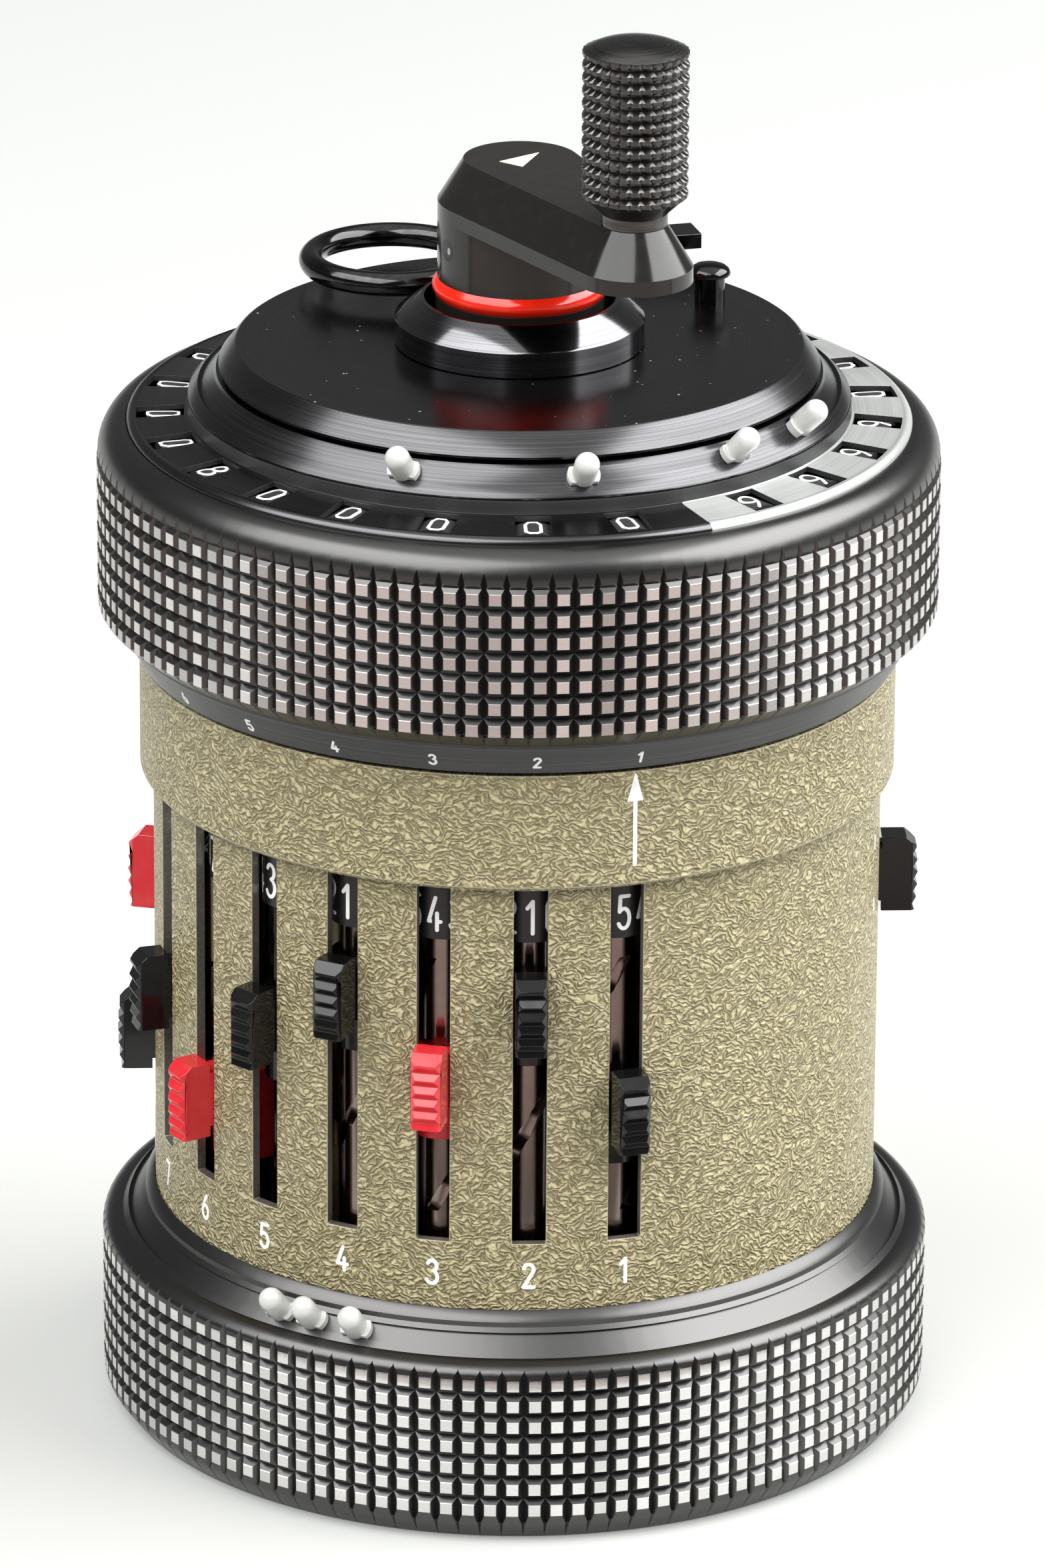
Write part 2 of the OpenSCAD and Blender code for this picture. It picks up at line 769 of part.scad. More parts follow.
module setting_shaft(i) {
    z = slider_z(i);
    shaft_foot = z_lower + slip;
    color([0.33, 0.25, 0.19])
        around(slot_angle(i))
            translate([0, -setting_r, 0]) {
                difference() {
                    union() {
                        translate([0, 0, z_pivot])
                            cylinder(r = pivot_r, h = pivot_len, $fn = 24);
                        translate([0, 0, shaft_foot])
                            cylinder(r = setting_shaft_r, h = z_drum - shaft_foot + eps, $fn = 48);
                        translate([0, 0, z_drum])
                            cylinder(r = digit_drum_d / 2, h = digit_drum_h, $fn = 64);
                        translate([0, 0, z_drum_top - eps])
                            cylinder(r = setting_shaft_r, h = z_upper - slip - z_drum_top, $fn = 48);
                    }
                    spiral_cut(z_nine - groove_run, z_zero + groove_run, z);
                }
            }
}

// The spiral groove between two heights; it faces away from the slot at the height z_pin
module spiral_cut(z0, z1, z_pin) {
    corners = [[-groove_depth, -groove_w / 2], [groove_depth, -groove_w / 2],
        [groove_depth, groove_w / 2], [-groove_depth, groove_w / 2]];
    swept([for (k = [0:groove_slices])
        let (z = z0 + (z1 - z0) * k / groove_slices, turn = 90 + 360 * (z - z_pin) / lead)
        [for (c = corners)
            [(setting_shaft_r + c[0]) * cos(turn) + c[1] * sin(turn),
                (setting_shaft_r + c[0]) * sin(turn) - c[1] * cos(turn), z]]]);
}

module reversing_lever() {
    plate_out = housing_in - reversing_plate_gap;
    lever_r = housing_r + grip_gap;
    color([0.04, 0.04, 0.045])
        around(reversing_angle) {
            finger_grip(lever_r, reversing_z, slider_grip_h, neck_w, slider_proud);
            translate([-neck_w / 2, -lever_r - grip_root, reversing_z - neck_h / 2])
                cube([neck_w, lever_r + grip_root - plate_out + reversing_plate_t / 2, neck_h]);
            translate([-reversing_plate_w / 2, -plate_out, reversing_z - neck_h / 2])
                cube([reversing_plate_w, reversing_plate_t, neck_h]);
        }
}

module base_marker(k) {
    color([0.85, 0.85, 0.83])
        marker_pin(base_track_r, z_base_track, base_marker_angles[k - 1]);
}

module ratchet_wheel() {
    tooth = 360 / ratchet_teeth;
    color([0.7, 0.62, 0.4])
        translate([0, 0, z_wheel])
            difference() {
                union() {
                    linear_extrude(wheel_t)
                        polygon([for (k = [0:ratchet_teeth - 1], p = [0, 1])
                            let (r = wheel_r - p * ratchet_tooth_h, a = tooth * (k + p * ratchet_rise))
                            [r * cos(a), r * sin(a)]]);
                    cylinder(r = wheel_hub_r, h = wheel_hub_h);
                }
                translate([0, 0, -cut])
                    cylinder(r = main_r + run, h = wheel_hub_h + 2 * cut);
                translate([-key_w / 2 - run, 0, -cut])
                    cube([key_w + 2 * run, main_r + key_h + slip, wheel_hub_h + 2 * cut]);
            }
}

module main_shaft() {
    color([0.7, 0.7, 0.71]) {
        translate([0, 0, z_shelf - shaft_tail])
            cylinder(r = main_r, h = z_arm_top - shaft_cap_t - z_shelf + shaft_tail);
        translate([-key_w / 2, 0, z_key])
            cube([key_w, main_r + key_h, key_len]);
    }
}

module stepped_drum() {
    height = z_zero - z_drum_body + drum_top_margin;
    color([0.62, 0.6, 0.55]) {
        translate([0, 0, z_drum_body])
            rotate_extrude($fn = 96)
                polygon([[main_r + run / 2, 0], [drum_r, 0], [drum_r, height], [main_r + run / 2, height],
                    [main_r + run / 2, height - drum_shell], [drum_r - drum_shell, height - drum_shell],
                    [drum_r - drum_shell, drum_hub_t], [main_r + run / 2, drum_hub_t]]);
        // Row d has d teeth, so a pinion set to digit d is turned by d steps
        for (d = [1:9], k = [1:d])
            around(reversing_angle + (k - 5) * drum_tooth_pitch)
                translate([-drum_tooth_w / 2, -drum_tip_r,
                    z_zero - d * digit_step - pinion_t - drum_tooth_t / 2])
                    cube([drum_tooth_w, drum_tooth_h + drum_shell / 4, drum_tooth_t]);
    }
}

module red_band() {
    color([0.62, 0.06, 0.05])
        translate([0, 0, z_red])
            rotate_extrude()
                polygon(concat(
                    [[hub_core_r + run / 2, red_band_h], [hub_core_r + run / 2, 0]],
                    [for (k = [0:red_band_steps])
                        [hub_r + red_band_proud * sin(180 * k / red_band_steps),
                            red_band_h * k / red_band_steps]]));
}

module crank_arm() {
    z_rim = z_arm_top - arm_rim_h;
    color([0.04, 0.04, 0.045])
        difference() {
            union() {
                translate([0, 0, z_hub])
                    cylinder(r = hub_r, h = hub_h);
                translate([0, 0, z_skirt])
                    cylinder(r = hub_core_r, h = z_hub - z_skirt + eps);
                translate([0, 0, z_skirt])
                    cylinder(r = hub_skirt_r, h = z_red - z_skirt);
                hull($fn = 48) {
                    translate([0, 0, z_rim])
                        cylinder(r = hub_r, h = arm_rim_h, $fn = 48);
                    translate([0, 0, z_arm_top])
                        cylinder(r1 = hub_r, r2 = hub_r - arm_bevel_w, h = crank_bevel_h);
                    at_knob()
                        translate([0, 0, z_rim])
                            cylinder(r = arm_end_r, h = arm_rim_h, $fn = 48);
                    at_knob()
                        translate([0, 0, z_arm_top])
                            cylinder(r1 = arm_end_r, r2 = arm_end_r - arm_bevel_w, h = crank_bevel_h);
                }
            }
            translate([0, 0, z_skirt - cut])
                cylinder(r = main_r + run / 2, h = z_hub - z_skirt + hub_h - shaft_cap_t + slip + cut);
            at_knob()
                translate([0, 0, z_rim - cut])
                    cylinder(r = stud_r + run / 2, h = crank_bevel_h + arm_rim_h + 2 * cut);
        }
}

module at_knob() {
    around(crank_angle)
        translate([0, -crank_r, 0])
            children();
}

module knob_stud() {
    color([0.6, 0.6, 0.6])
        at_knob()
            translate([0, 0, z_arm_top - arm_rim_h + slip])
                cylinder(r = stud_r, h = arm_rim_h + crank_bevel_h + knob_bore_h - slip - pass);
}

module crank_knob() {
    knurl_h = knob_h - knob_neck_h - knob_flare_h - knob_dome_h;
    row = knurl_h / knob_rows;
    z0 = knob_neck_h + knob_flare_h;
    knob_r = knob_d / 2;
    color([0.05, 0.05, 0.055])
        at_knob()
            translate([0, 0, z_crank_top + run])
                difference() {
                    rotate_extrude()
                        polygon(concat(
                            [[0, 0], [knob_neck_r - slip, 0], [knob_neck_r, slip],
                                [knob_neck_r, knob_neck_h]],
                            [for (k = [0:knob_rows - 1], p = [0, 0.3, 0.7])
                                [knob_r - (p == 0 ? knob_groove : 0), z0 + (k + p) * row]],
                            [[knob_r - knob_groove, z0 + knurl_h]],
                            [for (k = [1:5])
                                [(knob_r - knob_groove) * cos(18 * k),
                                    z0 + knurl_h + knob_dome_h * sin(18 * k)]]));
                    translate([0, 0, -cut])
                        cylinder(r = stud_r + run, h = knob_bore_h + cut);
                }
}

module carriage_bush() {
    color([0.66, 0.66, 0.67])
        rotate_extrude()
            polygon([[bush_bore_r, z_bush], [bush_flange_r, z_bush], [bush_flange_r, z_floor - run],
                [bush_r, z_floor - run], [bush_r, z_collar], [well_r, z_collar], [well_r, z_bush_seat],
                [bush_bore_r, z_bush_seat]]);
}

module collar() {
    color([0.05, 0.05, 0.055])
        rotate_extrude()
            polygon([[collar_bore_r, z_collar], [collar_d / 2, z_collar],
                [collar_d / 2, z_collar + collar_h],
                [collar_top_r, z_collar_top], [collar_bore_r, z_collar_top]]);
}

// Round wire wound between the bush's seat and the head of the column
module carriage_spring() {
    wire_r = spring_wire_d / 2;
    coil_r = (column_r + well_r) / 2 + slip;
    z0 = z_bush_seat + run + wire_r;
    z1 = z_column_top - column_head_h - run - wire_r;
    count = spring_turns * spring_rings;
    echo(spring_gap = (z1 - z0) / spring_turns - spring_wire_d);
    color([0.6, 0.6, 0.6])
        swept([for (k = [0:count])
            [for (s = [0:spring_sides - 1])
                let (turn = 360 * k / spring_rings, side = 360 * s / spring_sides,
                    r = coil_r + wire_r * cos(side), z = z0 + (z1 - z0) * k / count + wire_r * sin(side))
                [r * cos(turn), r * sin(turn), z]]]);
}

module carriage_body() {
    bore = bush_r + run;
    color([0.3, 0.3, 0.31])
        difference() {
            rotate_extrude($fn = 128)
                polygon([[bore, z_floor], [index_r0 - index_skirt_t, z_floor],
                    [index_r0 - index_skirt_t, z_car], [index_r0, z_car],
                    [index_r1, z_index_top], [index_r1, z_grip], [grip_bore_r - run, z_grip],
                    [grip_bore_r - run, z_floor + carriage_floor_t],
                    [drum_wall_r1, z_floor + carriage_floor_t], [drum_wall_r1, z_wall_top],
                    [drum_wall_r0, z_wall_top], [drum_wall_r0, z_floor + carriage_floor_t],
                    [carriage_hub_r, z_floor + carriage_floor_t], [carriage_hub_r, z_plate - run],
                    [bore, z_plate - run]]);
            dial_places(concat(result_angles(), counter_angles()))
                rotate([90, 0, 0])
                    translate([0, 0, drum_wall_r0 - cut])
                        cylinder(r = axle_r + run / 2, h = drum_wall_r1 - drum_wall_r0 + 2 * cut, $fn = 24);
        }
}

module dial_places(angles) {
    ring_of(angles)
        translate([0, 0, z_dial])
            children();
}

module carriage_grip() {
    knurl_z = z_grip + 1.7;
    knurl_top = knurl_z + (knurl_rows - 1) * knurl_pitch + knurl_land / 2;
    color([0.05, 0.05, 0.055])
        rotate_extrude($fn = 128)
            polygon(concat(
                [[grip_bore_r, z_grip], [index_r1 + 0.1, z_grip], [grip_r - 0.1, z_grip + 1.2]],
                knurl_profile(grip_r, knurl_z),
                shoulder(grip_r, knurl_top + 0.4, grip_r - window_rim_r - run,
                    z_grip_top - knurl_top - 0.4, 6),
                [[window_rim_r + run, z_window - run], [grip_bore_r - grip_ledge_in, z_window - run],
                    [grip_bore_r - grip_ledge_in, z_window - grip_ledge_t],
                    [grip_bore_r, z_window - grip_ledge_t]]));
}

module marker_ring() {
    top = z_marker_ring + marker_ring_h;
    edge_z = track_r + track_z - marker_ring_r;
    color([0.05, 0.05, 0.055])
        difference() {
            rotate_extrude($fn = 128)
                polygon([[drum_wall_r0, z_marker_ring], [drum_wall_r1, z_marker_ring],
                    [drum_wall_r1, z_marker_ring + slip], [marker_ring_r, z_marker_ring + slip],
                    [marker_ring_r, edge_z], [track_r + track_z - top, top], [drum_wall_r0, top]]);
            marker_track(track_r, track_z);
        }
}

// A stretch of the window ring, with one window for each angle in the list
module window_ring(angles, from, to) {
    ledge_r = grip_bore_r - grip_ledge_in;
    top_in = z_grip_top + window_slope;
    top_out = z_grip_top + run;
    difference() {
        rotate([0, 0, from - 90])
            rotate_extrude(angle = to - from, $fn = 128)
                polygon([[window_in_r - window_wall, top_in - window_t], [ledge_r, top_out - window_t],
                    [ledge_r, z_window], [window_rim_r, z_window], [window_rim_r, z_grip_top - 0.15],
                    [window_rim_r - 0.2, top_out], [window_rim_r - 0.6, top_out],
                    [window_in_r, top_in], [window_in_r, z_marker_ring + run],
                    [window_in_r - window_wall, z_marker_ring + run]]);
        ring_of(angles)
            translate([-window_w / 2, -window_r1, z_window - cut])
                cube([window_w, window_r1 - window_r0, window_rim_t + window_slope + 2 * cut]);
    }
}

module result_windows() {
    color([0.05, 0.05, 0.055])
        window_ring(result_angles(), counter_end, counter_start + 360);
}

module counter_windows() {
    color([0.75, 0.76, 0.75])
        window_ring(counter_angles(), counter_start, counter_end);
}

// A numeral drum with its star gear, turning on a radial axle
module dial() {
    rotate([90, 0, 0])
        difference() {
            union() {
                translate([0, 0, dial_r0])
                    cylinder(d = dial_d, h = dial_r1 - dial_r0, $fn = 48);
                translate([0, 0, dial_gear_r0 + dial_gear_t - eps])
                    cylinder(r = dial_hub_r, h = dial_r0 - dial_gear_r0 - dial_gear_t + 2 * eps, $fn = 32);
                translate([0, 0, dial_gear_r0])
                    pinion_gear(pinion_teeth, pinion_r, pinion_root_r, dial_gear_t, axle_r + run);
            }
            cylinder(r = axle_r + run, h = grip_r, $fn = 24);
        }
}

module result_dials() {
    color([0.06, 0.06, 0.06])
        dial_places(result_angles())
            dial();
}

module counter_dials() {
    color([0.06, 0.06, 0.06])
        dial_places(counter_angles())
            dial();
}

module dial_axles() {
    color([0.65, 0.65, 0.65])
        dial_places(concat(result_angles(), counter_angles()))
            rotate([90, 0, 0])
                translate([0, 0, drum_wall_r0 + slip])
                    cylinder(r = axle_r, h = axle_end_r - drum_wall_r0 - slip, $fn = 24);
}

module clearing_plate() {
    color([0.05, 0.05, 0.055])
        difference() {
            rotate_extrude($fn = 128)
                polygon([[bush_r + run, z_plate], [plate_edge_r - 0.2, z_plate],
                    [plate_edge_r, z_plate + plate_rim_h], [plate_r, z_plate_top],
                    [bush_r + run, z_plate_top]]);
            for (p = [lever_pivot, catch_at])
                translate([p[0], p[1], z_plate_top - pin_depth - slip])
                    cylinder(r = lever_pin_r + run / 2, h = pin_depth + cut, $fn = 32);
        }
}

// The clearing lever's pivot and the mushroom-headed catch pin, both riveted into the plate
module clearing_plate_pins() {
    color([0.12, 0.12, 0.12]) {
        translate([lever_pivot[0], lever_pivot[1], z_plate_top]) {
            translate([0, 0, -pin_depth])
                cylinder(r = lever_pin_r, h = pin_depth + lever_post_h + lever_t + 3 * run, $fn = 32);
            cylinder(r = lever_post_r, h = lever_post_h, $fn = 32);
            translate([0, 0, lever_post_h + lever_t + 2 * run])
                cylinder(r1 = lever_post_r, r2 = lever_post_r - rivet_chamfer, h = rivet_head_h, $fn = 32);
        }
        translate([catch_at[0], catch_at[1], z_plate_top]) {
            translate([0, 0, -pin_depth])
                cylinder(r = lever_pin_r, h = pin_depth + eps, $fn = 32);
            cylinder(r = catch_stem_r, h = catch_stem_h, $fn = 32);
            translate([0, 0, catch_stem_h - eps])
                cylinder(r = catch_head_r, h = catch_rim_h, $fn = 32);
            translate([0, 0, catch_stem_h + catch_rim_h - 2 * eps])
                cylinder(r1 = catch_head_r, r2 = catch_top_r, h = catch_dome_h, $fn = 32);
        }
    }
}

module clearing_lever() {
    z_mid = z_lever + lever_t / 2;
    color([0.1, 0.1, 0.11])
        difference() {
            union() {
                translate([lever_ring_at[0], lever_ring_at[1], z_mid])
                    rotate_extrude()
                        translate([ring_r, 0])
                            circle(d = ring_wire_d, $fn = 24);
                translate([lever_ring_at[0], lever_ring_at[1], z_lever])
                    rotate([0, 0, lever_angle])
                        translate([ring_r, -lever_w / 2, 0])
                            cube([lever_len - ring_r, lever_w, lever_t]);
            }
            translate([lever_pivot[0], lever_pivot[1], z_lever - cut])
                cylinder(r = lever_pin_r + run, h = lever_t + 2 * cut, $fn = 32);
        }
}

module carriage_marker(k) {
    color([0.85, 0.85, 0.83])
        marker_pin(track_r, track_z, carriage_marker_angles[k - 1]);
}

housing();
base_ring();
bottom_cover();
bottom_screws();
lower_bearing_plate();
upper_bearing_plate();
centre_column();
transmission_shafts();
ratchet_pawl();
for (i = [1:slot_count]) {
    setting_slider(i);
    setting_shaft(i);
}
reversing_lever();
for (k = [1:3])
    base_marker(k);
ratchet_wheel();
main_shaft();
stepped_drum();
red_band();
crank_arm();
knob_stud();
crank_knob();
carriage_bush();
collar();
carriage_spring();
carriage_body();
carriage_grip();
marker_ring();
result_windows();
counter_windows();
result_dials();
counter_dials();
dial_axles();
clearing_plate();
clearing_plate_pins();
clearing_lever();
for (k = [1:4])
    carriage_marker(k);
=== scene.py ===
"""Looks of a hand-cranked cylindrical pocket calculator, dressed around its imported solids."""

import json
import logging
import math
from collections.abc import Callable, Iterable, Sequence
from dataclasses import dataclass, field
from enum import Enum
from typing import Any, Union

import bmesh
import bpy
from mathutils import Matrix, Vector


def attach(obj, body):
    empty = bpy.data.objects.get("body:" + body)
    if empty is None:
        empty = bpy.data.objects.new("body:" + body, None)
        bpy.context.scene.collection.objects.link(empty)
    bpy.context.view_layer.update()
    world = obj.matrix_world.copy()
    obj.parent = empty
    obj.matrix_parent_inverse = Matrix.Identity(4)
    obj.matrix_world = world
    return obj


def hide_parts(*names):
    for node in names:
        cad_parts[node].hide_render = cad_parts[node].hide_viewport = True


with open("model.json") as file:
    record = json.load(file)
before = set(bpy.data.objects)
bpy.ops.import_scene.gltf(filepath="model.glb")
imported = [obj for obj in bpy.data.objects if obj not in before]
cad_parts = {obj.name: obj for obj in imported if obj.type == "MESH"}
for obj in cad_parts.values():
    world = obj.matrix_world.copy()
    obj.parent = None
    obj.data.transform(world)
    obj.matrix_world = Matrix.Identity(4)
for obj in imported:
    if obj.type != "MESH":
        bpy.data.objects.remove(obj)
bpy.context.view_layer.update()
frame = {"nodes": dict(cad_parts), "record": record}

LOG = logging.getLogger("scene")

Colour = tuple[float, float, float]
Flat = tuple[float, float]
Point = tuple[float, float, float]
Corner = tuple[Flat, float]
Mapper = Callable[[float, float, float], Point]
Term = Union["Sock", float]

MM = 0.001
TURN = 2.0 * math.pi
AXIS: Flat = (0.0, 0.0)
KNOB_AXIS: Flat = (8.514, -16.425)
GRIP_RADIUS = 32.5
GRIP_COLUMNS = 120
FIRST_SLOT = 17.3
PITCH = 15.0


def body_of(node: str) -> str:
    """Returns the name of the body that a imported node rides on."""
    groups: dict[str, list[str]] = frame["record"]["behaviour"]["bodies"]
    return next(body for body, members in groups.items() if node in members)


def round_about(radius: float, angle: float, z: float, axis: Flat = AXIS) -> Point:
    """Gives the point at an angle round an upright axis.

    Args:
        radius: Distance from the axis, in millimetres.
        angle: Angle in degrees from the front, towards the right.
        z: Height in millimetres.
        axis: Where the axis stands, in millimetres.

    Returns:
        The point in millimetres.
    """
    turn = math.radians(angle)
    return axis[0] + radius * math.sin(turn), axis[1] - radius * math.cos(turn), z


# Shading


class Sock:
    """An output socket that takes part in arithmetic and makes Math nodes of it."""

    def __init__(self, shader: "Shader", socket: bpy.types.NodeSocket) -> None:
        """Keeps the socket and the shader that its nodes go into."""
        self.shader = shader
        self.socket = socket

    def __add__(self, other: Term) -> "Sock":
        """Adds."""
        return self.shader.maths("ADD", self, other)

    def __sub__(self, other: Term) -> "Sock":
        """Subtracts."""
        return self.shader.maths("SUBTRACT", self, other)

    def __mul__(self, other: Term) -> "Sock":
        """Multiplies."""
        return self.shader.maths("MULTIPLY", self, other)

    def __truediv__(self, other: Term) -> "Sock":
        """Divides."""
        return self.shader.maths("DIVIDE", self, other)

    def __gt__(self, other: Term) -> "Sock":
        """Is 1 where this is the larger."""
        return self.shader.maths("GREATER_THAN", self, other)

    def __radd__(self, other: float) -> "Sock":
        """Adds to a number."""
        return self.shader.maths("ADD", other, self)

    def __rsub__(self, other: float) -> "Sock":
        """Is taken from a number."""
        return self.shader.maths("SUBTRACT", other, self)

    def __rmul__(self, other: float) -> "Sock":
        """Multiplies a number."""
        return self.shader.maths("MULTIPLY", other, self)

    def __rtruediv__(self, other: float) -> "Sock":
        """Divides a number."""
        return self.shader.maths("DIVIDE", other, self)

    def __neg__(self) -> "Sock":
        """Changes the sign."""
        return self.shader.maths("MULTIPLY", self, -1.0)

    def __pow__(self, other: Term) -> "Sock":
        """Raises to a power."""
        return self.shader.maths("POWER", self, other)

    def step(self, low: float, high: float) -> "Sock":
        """Rises smoothly from 0 at low to 1 at high."""
        settings = {"interpolation_type": "SMOOTHSTEP"}
        return self.shader.out(0, "ShaderNodeMapRange", settings, {0: self, 1: low, 2: high})

    def between(self, low: float, high: float) -> "Sock":
        """Stretches 0 to 1 over low to high."""
        return self * (high - low) + low


class Shader:
    """The node tree of a material or a world, with one method that makes its nodes."""

    def __init__(self, name: str, world: bool = False) -> None:
        """Starts an empty node tree.

        Args:
            name: The name of its material or world.
            world: Whether it is a world's.
        """
        self.owner = (bpy.data.worlds if world else bpy.data.materials).new(name)
        self.owner.use_nodes = True
        self.tree = self.owner.node_tree
        self.tree.nodes.clear()

    def node(self, kind: str, settings: dict[str, Any], inputs: dict[Any, Any]) -> bpy.types.Node:
        """Makes one node.

        Args:
            kind: The node's type.
            settings: Its properties.
            inputs: Its inputs by name or number, each a value or a Sock to link.

        Returns:
            The node.
        """
        made = self.tree.nodes.new(kind)
        for key, value in settings.items():
            setattr(made, key, value)
        for key, value in inputs.items():
            if isinstance(value, Sock):
                self.tree.links.new(value.socket, made.inputs[key])
            else:
                made.inputs[key].default_value = value
        return made

    def out(self, output: Any, kind: str, settings: dict[str, Any], inputs: dict[Any, Any]) -> Sock:
        """Makes one node and gives one of its outputs, by name or number."""
        return Sock(self, self.node(kind, settings, inputs).outputs[output])

    def maths(self, operation: str, first: Term, second: Term = 0.0) -> Sock:
        """Gives a Math node's result for one or two numbers or sockets."""
        return self.out(0, "ShaderNodeMath", {"operation": operation}, {0: first, 1: second})

    def vector(self, operation: str, first: Any, second: Any) -> Sock:
        """Gives a Vector Math node's vector result."""
        return self.out(0, "ShaderNodeVectorMath", {"operation": operation}, {0: first, 1: second})

    def join(self, x: Term, y: Term, z: Term = 0.0) -> Sock:
        """Gives a vector of three numbers or sockets."""
        return self.out(0, "ShaderNodeCombineXYZ", {}, {0: x, 1: y, 2: z})

    def parts(self, vector: Sock) -> tuple[Sock, Sock, Sock]:
        """Gives a vector's three numbers."""
        node = self.node("ShaderNodeSeparateXYZ", {}, {0: vector})
        return Sock(self, node.outputs[0]), Sock(self, node.outputs[1]), Sock(self, node.outputs[2])

    def place(self) -> Sock:
        """Gives the place on the object in its own frame, in millimetres."""
        raw = self.out("Object", "ShaderNodeTexCoord", {}, {})
        return self.vector("MULTIPLY", raw, (1000.0, 1000.0, 1000.0))

    def polar(self, axis: Flat = AXIS) -> tuple[Sock, Sock, Sock]:
        """Gives the distance from an upright axis, the angle round it and the height.

        Args:
            axis: Where the axis stands, in millimetres.

        Returns:
            Radius in millimetres, angle in radians from the front, and height in millimetres.
        """
        x, y, z = self.parts(self.place())
        x, y = x - axis[0], axis[1] - y
        return (x * x + y * y) ** 0.5, self.maths("ARCTAN2", x, y), z

    def noise(self, vector: Sock, scale: float, detail: float = 2.0) -> Sock:
        """Gives a noise from 0 to 1 at a scale in spots per millimetre."""
        inputs = {"Vector": vector, "Scale": scale, "Detail": detail}
        return self.out(0, "ShaderNodeTexNoise", {}, inputs)

    def blend(self, factor: Term, first: Any, second: Any) -> Sock:
        """Mixes two colours, each a Sock or three numbers."""
        ends = [(*end, 1.0) if isinstance(end, tuple) else end for end in (first, second)]
        return self.out(2, "ShaderNodeMix", {"data_type": "RGBA"}, {0: factor, 6: ends[0], 7: ends[1]})

    def bump(self, height: Sock, depth: float, strength: float = 1.0) -> Sock:
        """Gives a normal for a height from 0 to 1 that stands for a depth in millimetres."""
        inputs = {"Height": height, "Distance": depth * MM, "Strength": strength}
        return self.out(0, "ShaderNodeBump", {}, inputs)

    def upward(self) -> Sock:
        """Is 1 on faces that look up, and 0 on others."""
        normal = self.out("Normal", "ShaderNodeNewGeometry", {}, {})
        return self.parts(normal)[2].step(0.75, 0.95)

    def finish(self, inputs: dict[str, Any]) -> bpy.types.Material:
        """Ends the material with a Principled surface.

        Args:
            inputs: The surface's inputs, each a value or a Sock.

        Returns:
            The material.
        """
        surface = self.out(0, "ShaderNodeBsdfPrincipled", {}, inputs)
        self.node("ShaderNodeOutputMaterial", {}, {"Surface": surface})
        return self.owner


@dataclass(frozen=True)
class CrinklePaint:
    """Stove paint that dried in patches of fine wrinkles, coloured with painted shade in the troughs and a
    painted highlight on the crests.
    """

    shaded_trough: Colour
    crest: Colour
    wave: float = 0.36
    patch: float = 1.0
    radius: float = 28.3

    def make(self, name: str) -> bpy.types.Material:
        """Makes the material.

        Args:
            name: The material's name.

        Returns:
            The material.
        """
        shader = Shader(name)
        _, angle, z = shader.polar()
        spot = shader.join(angle * (self.radius / self.patch), z / self.patch)
        sway = shader.out("Color", "ShaderNodeTexNoise", {}, {"Vector": spot, "Scale": 1.3, "Detail": 1.0})
        shift = shader.vector("MULTIPLY", shader.vector("SUBTRACT", sway, (0.5, 0.5, 0.5)), (0.9, 0.9, 0.0))
        spot = shader.vector("ADD", spot, shift)
        cell = shader.node(
            "ShaderNodeTexVoronoi", {"voronoi_dimensions": "2D"}, {"Vector": spot, "Scale": 1.0}
        )
        along, across, _ = shader.parts(
            shader.vector("SUBTRACT", spot, Sock(shader, cell.outputs["Position"]))
        )
        lot, other, _ = shader.parts(Sock(shader, cell.outputs["Color"]))
        turn = lot.between(0.6, 2.5)
        run = along * shader.maths("COSINE", turn) + across * shader.maths("SINE", turn)
        waver = shader.noise(spot, 2.2, 1.0)
        phase = run * (TURN * self.patch / self.wave) + waver * 9.0 + other * TURN
        crest = shader.maths("SINE", phase).between(0.5, 1.0)
        lump = shader.noise(spot, 1.6, 3.0)
        height = crest * 0.5 + lump * 1.2
        # Painted shade and highlight: the colour darkens in the troughs and lightens on the crests of the
        # same height that makes the bump.
        tone = shader.blend(height.step(0.55, 1.25), self.shaded_trough, self.crest)
        return shader.finish({
            "Base Color": tone,
            "Roughness": lump.between(0.28, 0.42),
            "Normal": shader.bump(height, 0.3),
        })


@dataclass(frozen=True)
class TurnedMetal:
    """Lathe-turned metal with fine rings round its axis, and dust on faces that look up."""

    colour: Colour
    shine: Colour
    roughness: float = 0.28
    metallic: float = 1.0
    rings: float = 9.0
    depth: float = 0.0018
    dust: float = 0.0
    axis: Flat = AXIS

    def make(self, name: str) -> bpy.types.Material:
        """Makes the material.

        Args:
            name: The material's name.

        Returns:
            The material.
        """
        shader = Shader(name)
        radius, angle, z = shader.polar(self.axis)
        streak = shader.noise(shader.join(radius * self.rings, z * self.rings, angle * 0.7), 1.0, 3.0)
        cloud = shader.noise(shader.place(), 0.25, 3.0)
        tone = shader.blend(streak.step(0.3, 0.75), self.colour, self.shine)
        rough = cloud.between(0.8, 1.2) * self.roughness + streak * 0.05
        metal: Any = self.metallic
        if self.dust:
            speck = shader.out(
                "Distance", "ShaderNodeTexVoronoi", {}, {"Vector": shader.place(), "Scale": 0.9}
            )
            grain = shader.noise(shader.place(), 1.6, 4.0)
            seen = (1.0 - speck.step(0.05, 0.11)) * shader.upward() * grain.step(0.5, 0.62) * self.dust
            tone = shader.blend(seen, tone, (0.55, 0.54, 0.5))
            rough = rough + seen * 0.5
            metal = (1.0 - seen) * self.metallic
        return shader.finish({
            "Base Color": tone,
            "Metallic": metal,
            "Roughness": rough,
            "Normal": shader.bump(streak, self.depth, 0.6),
        })


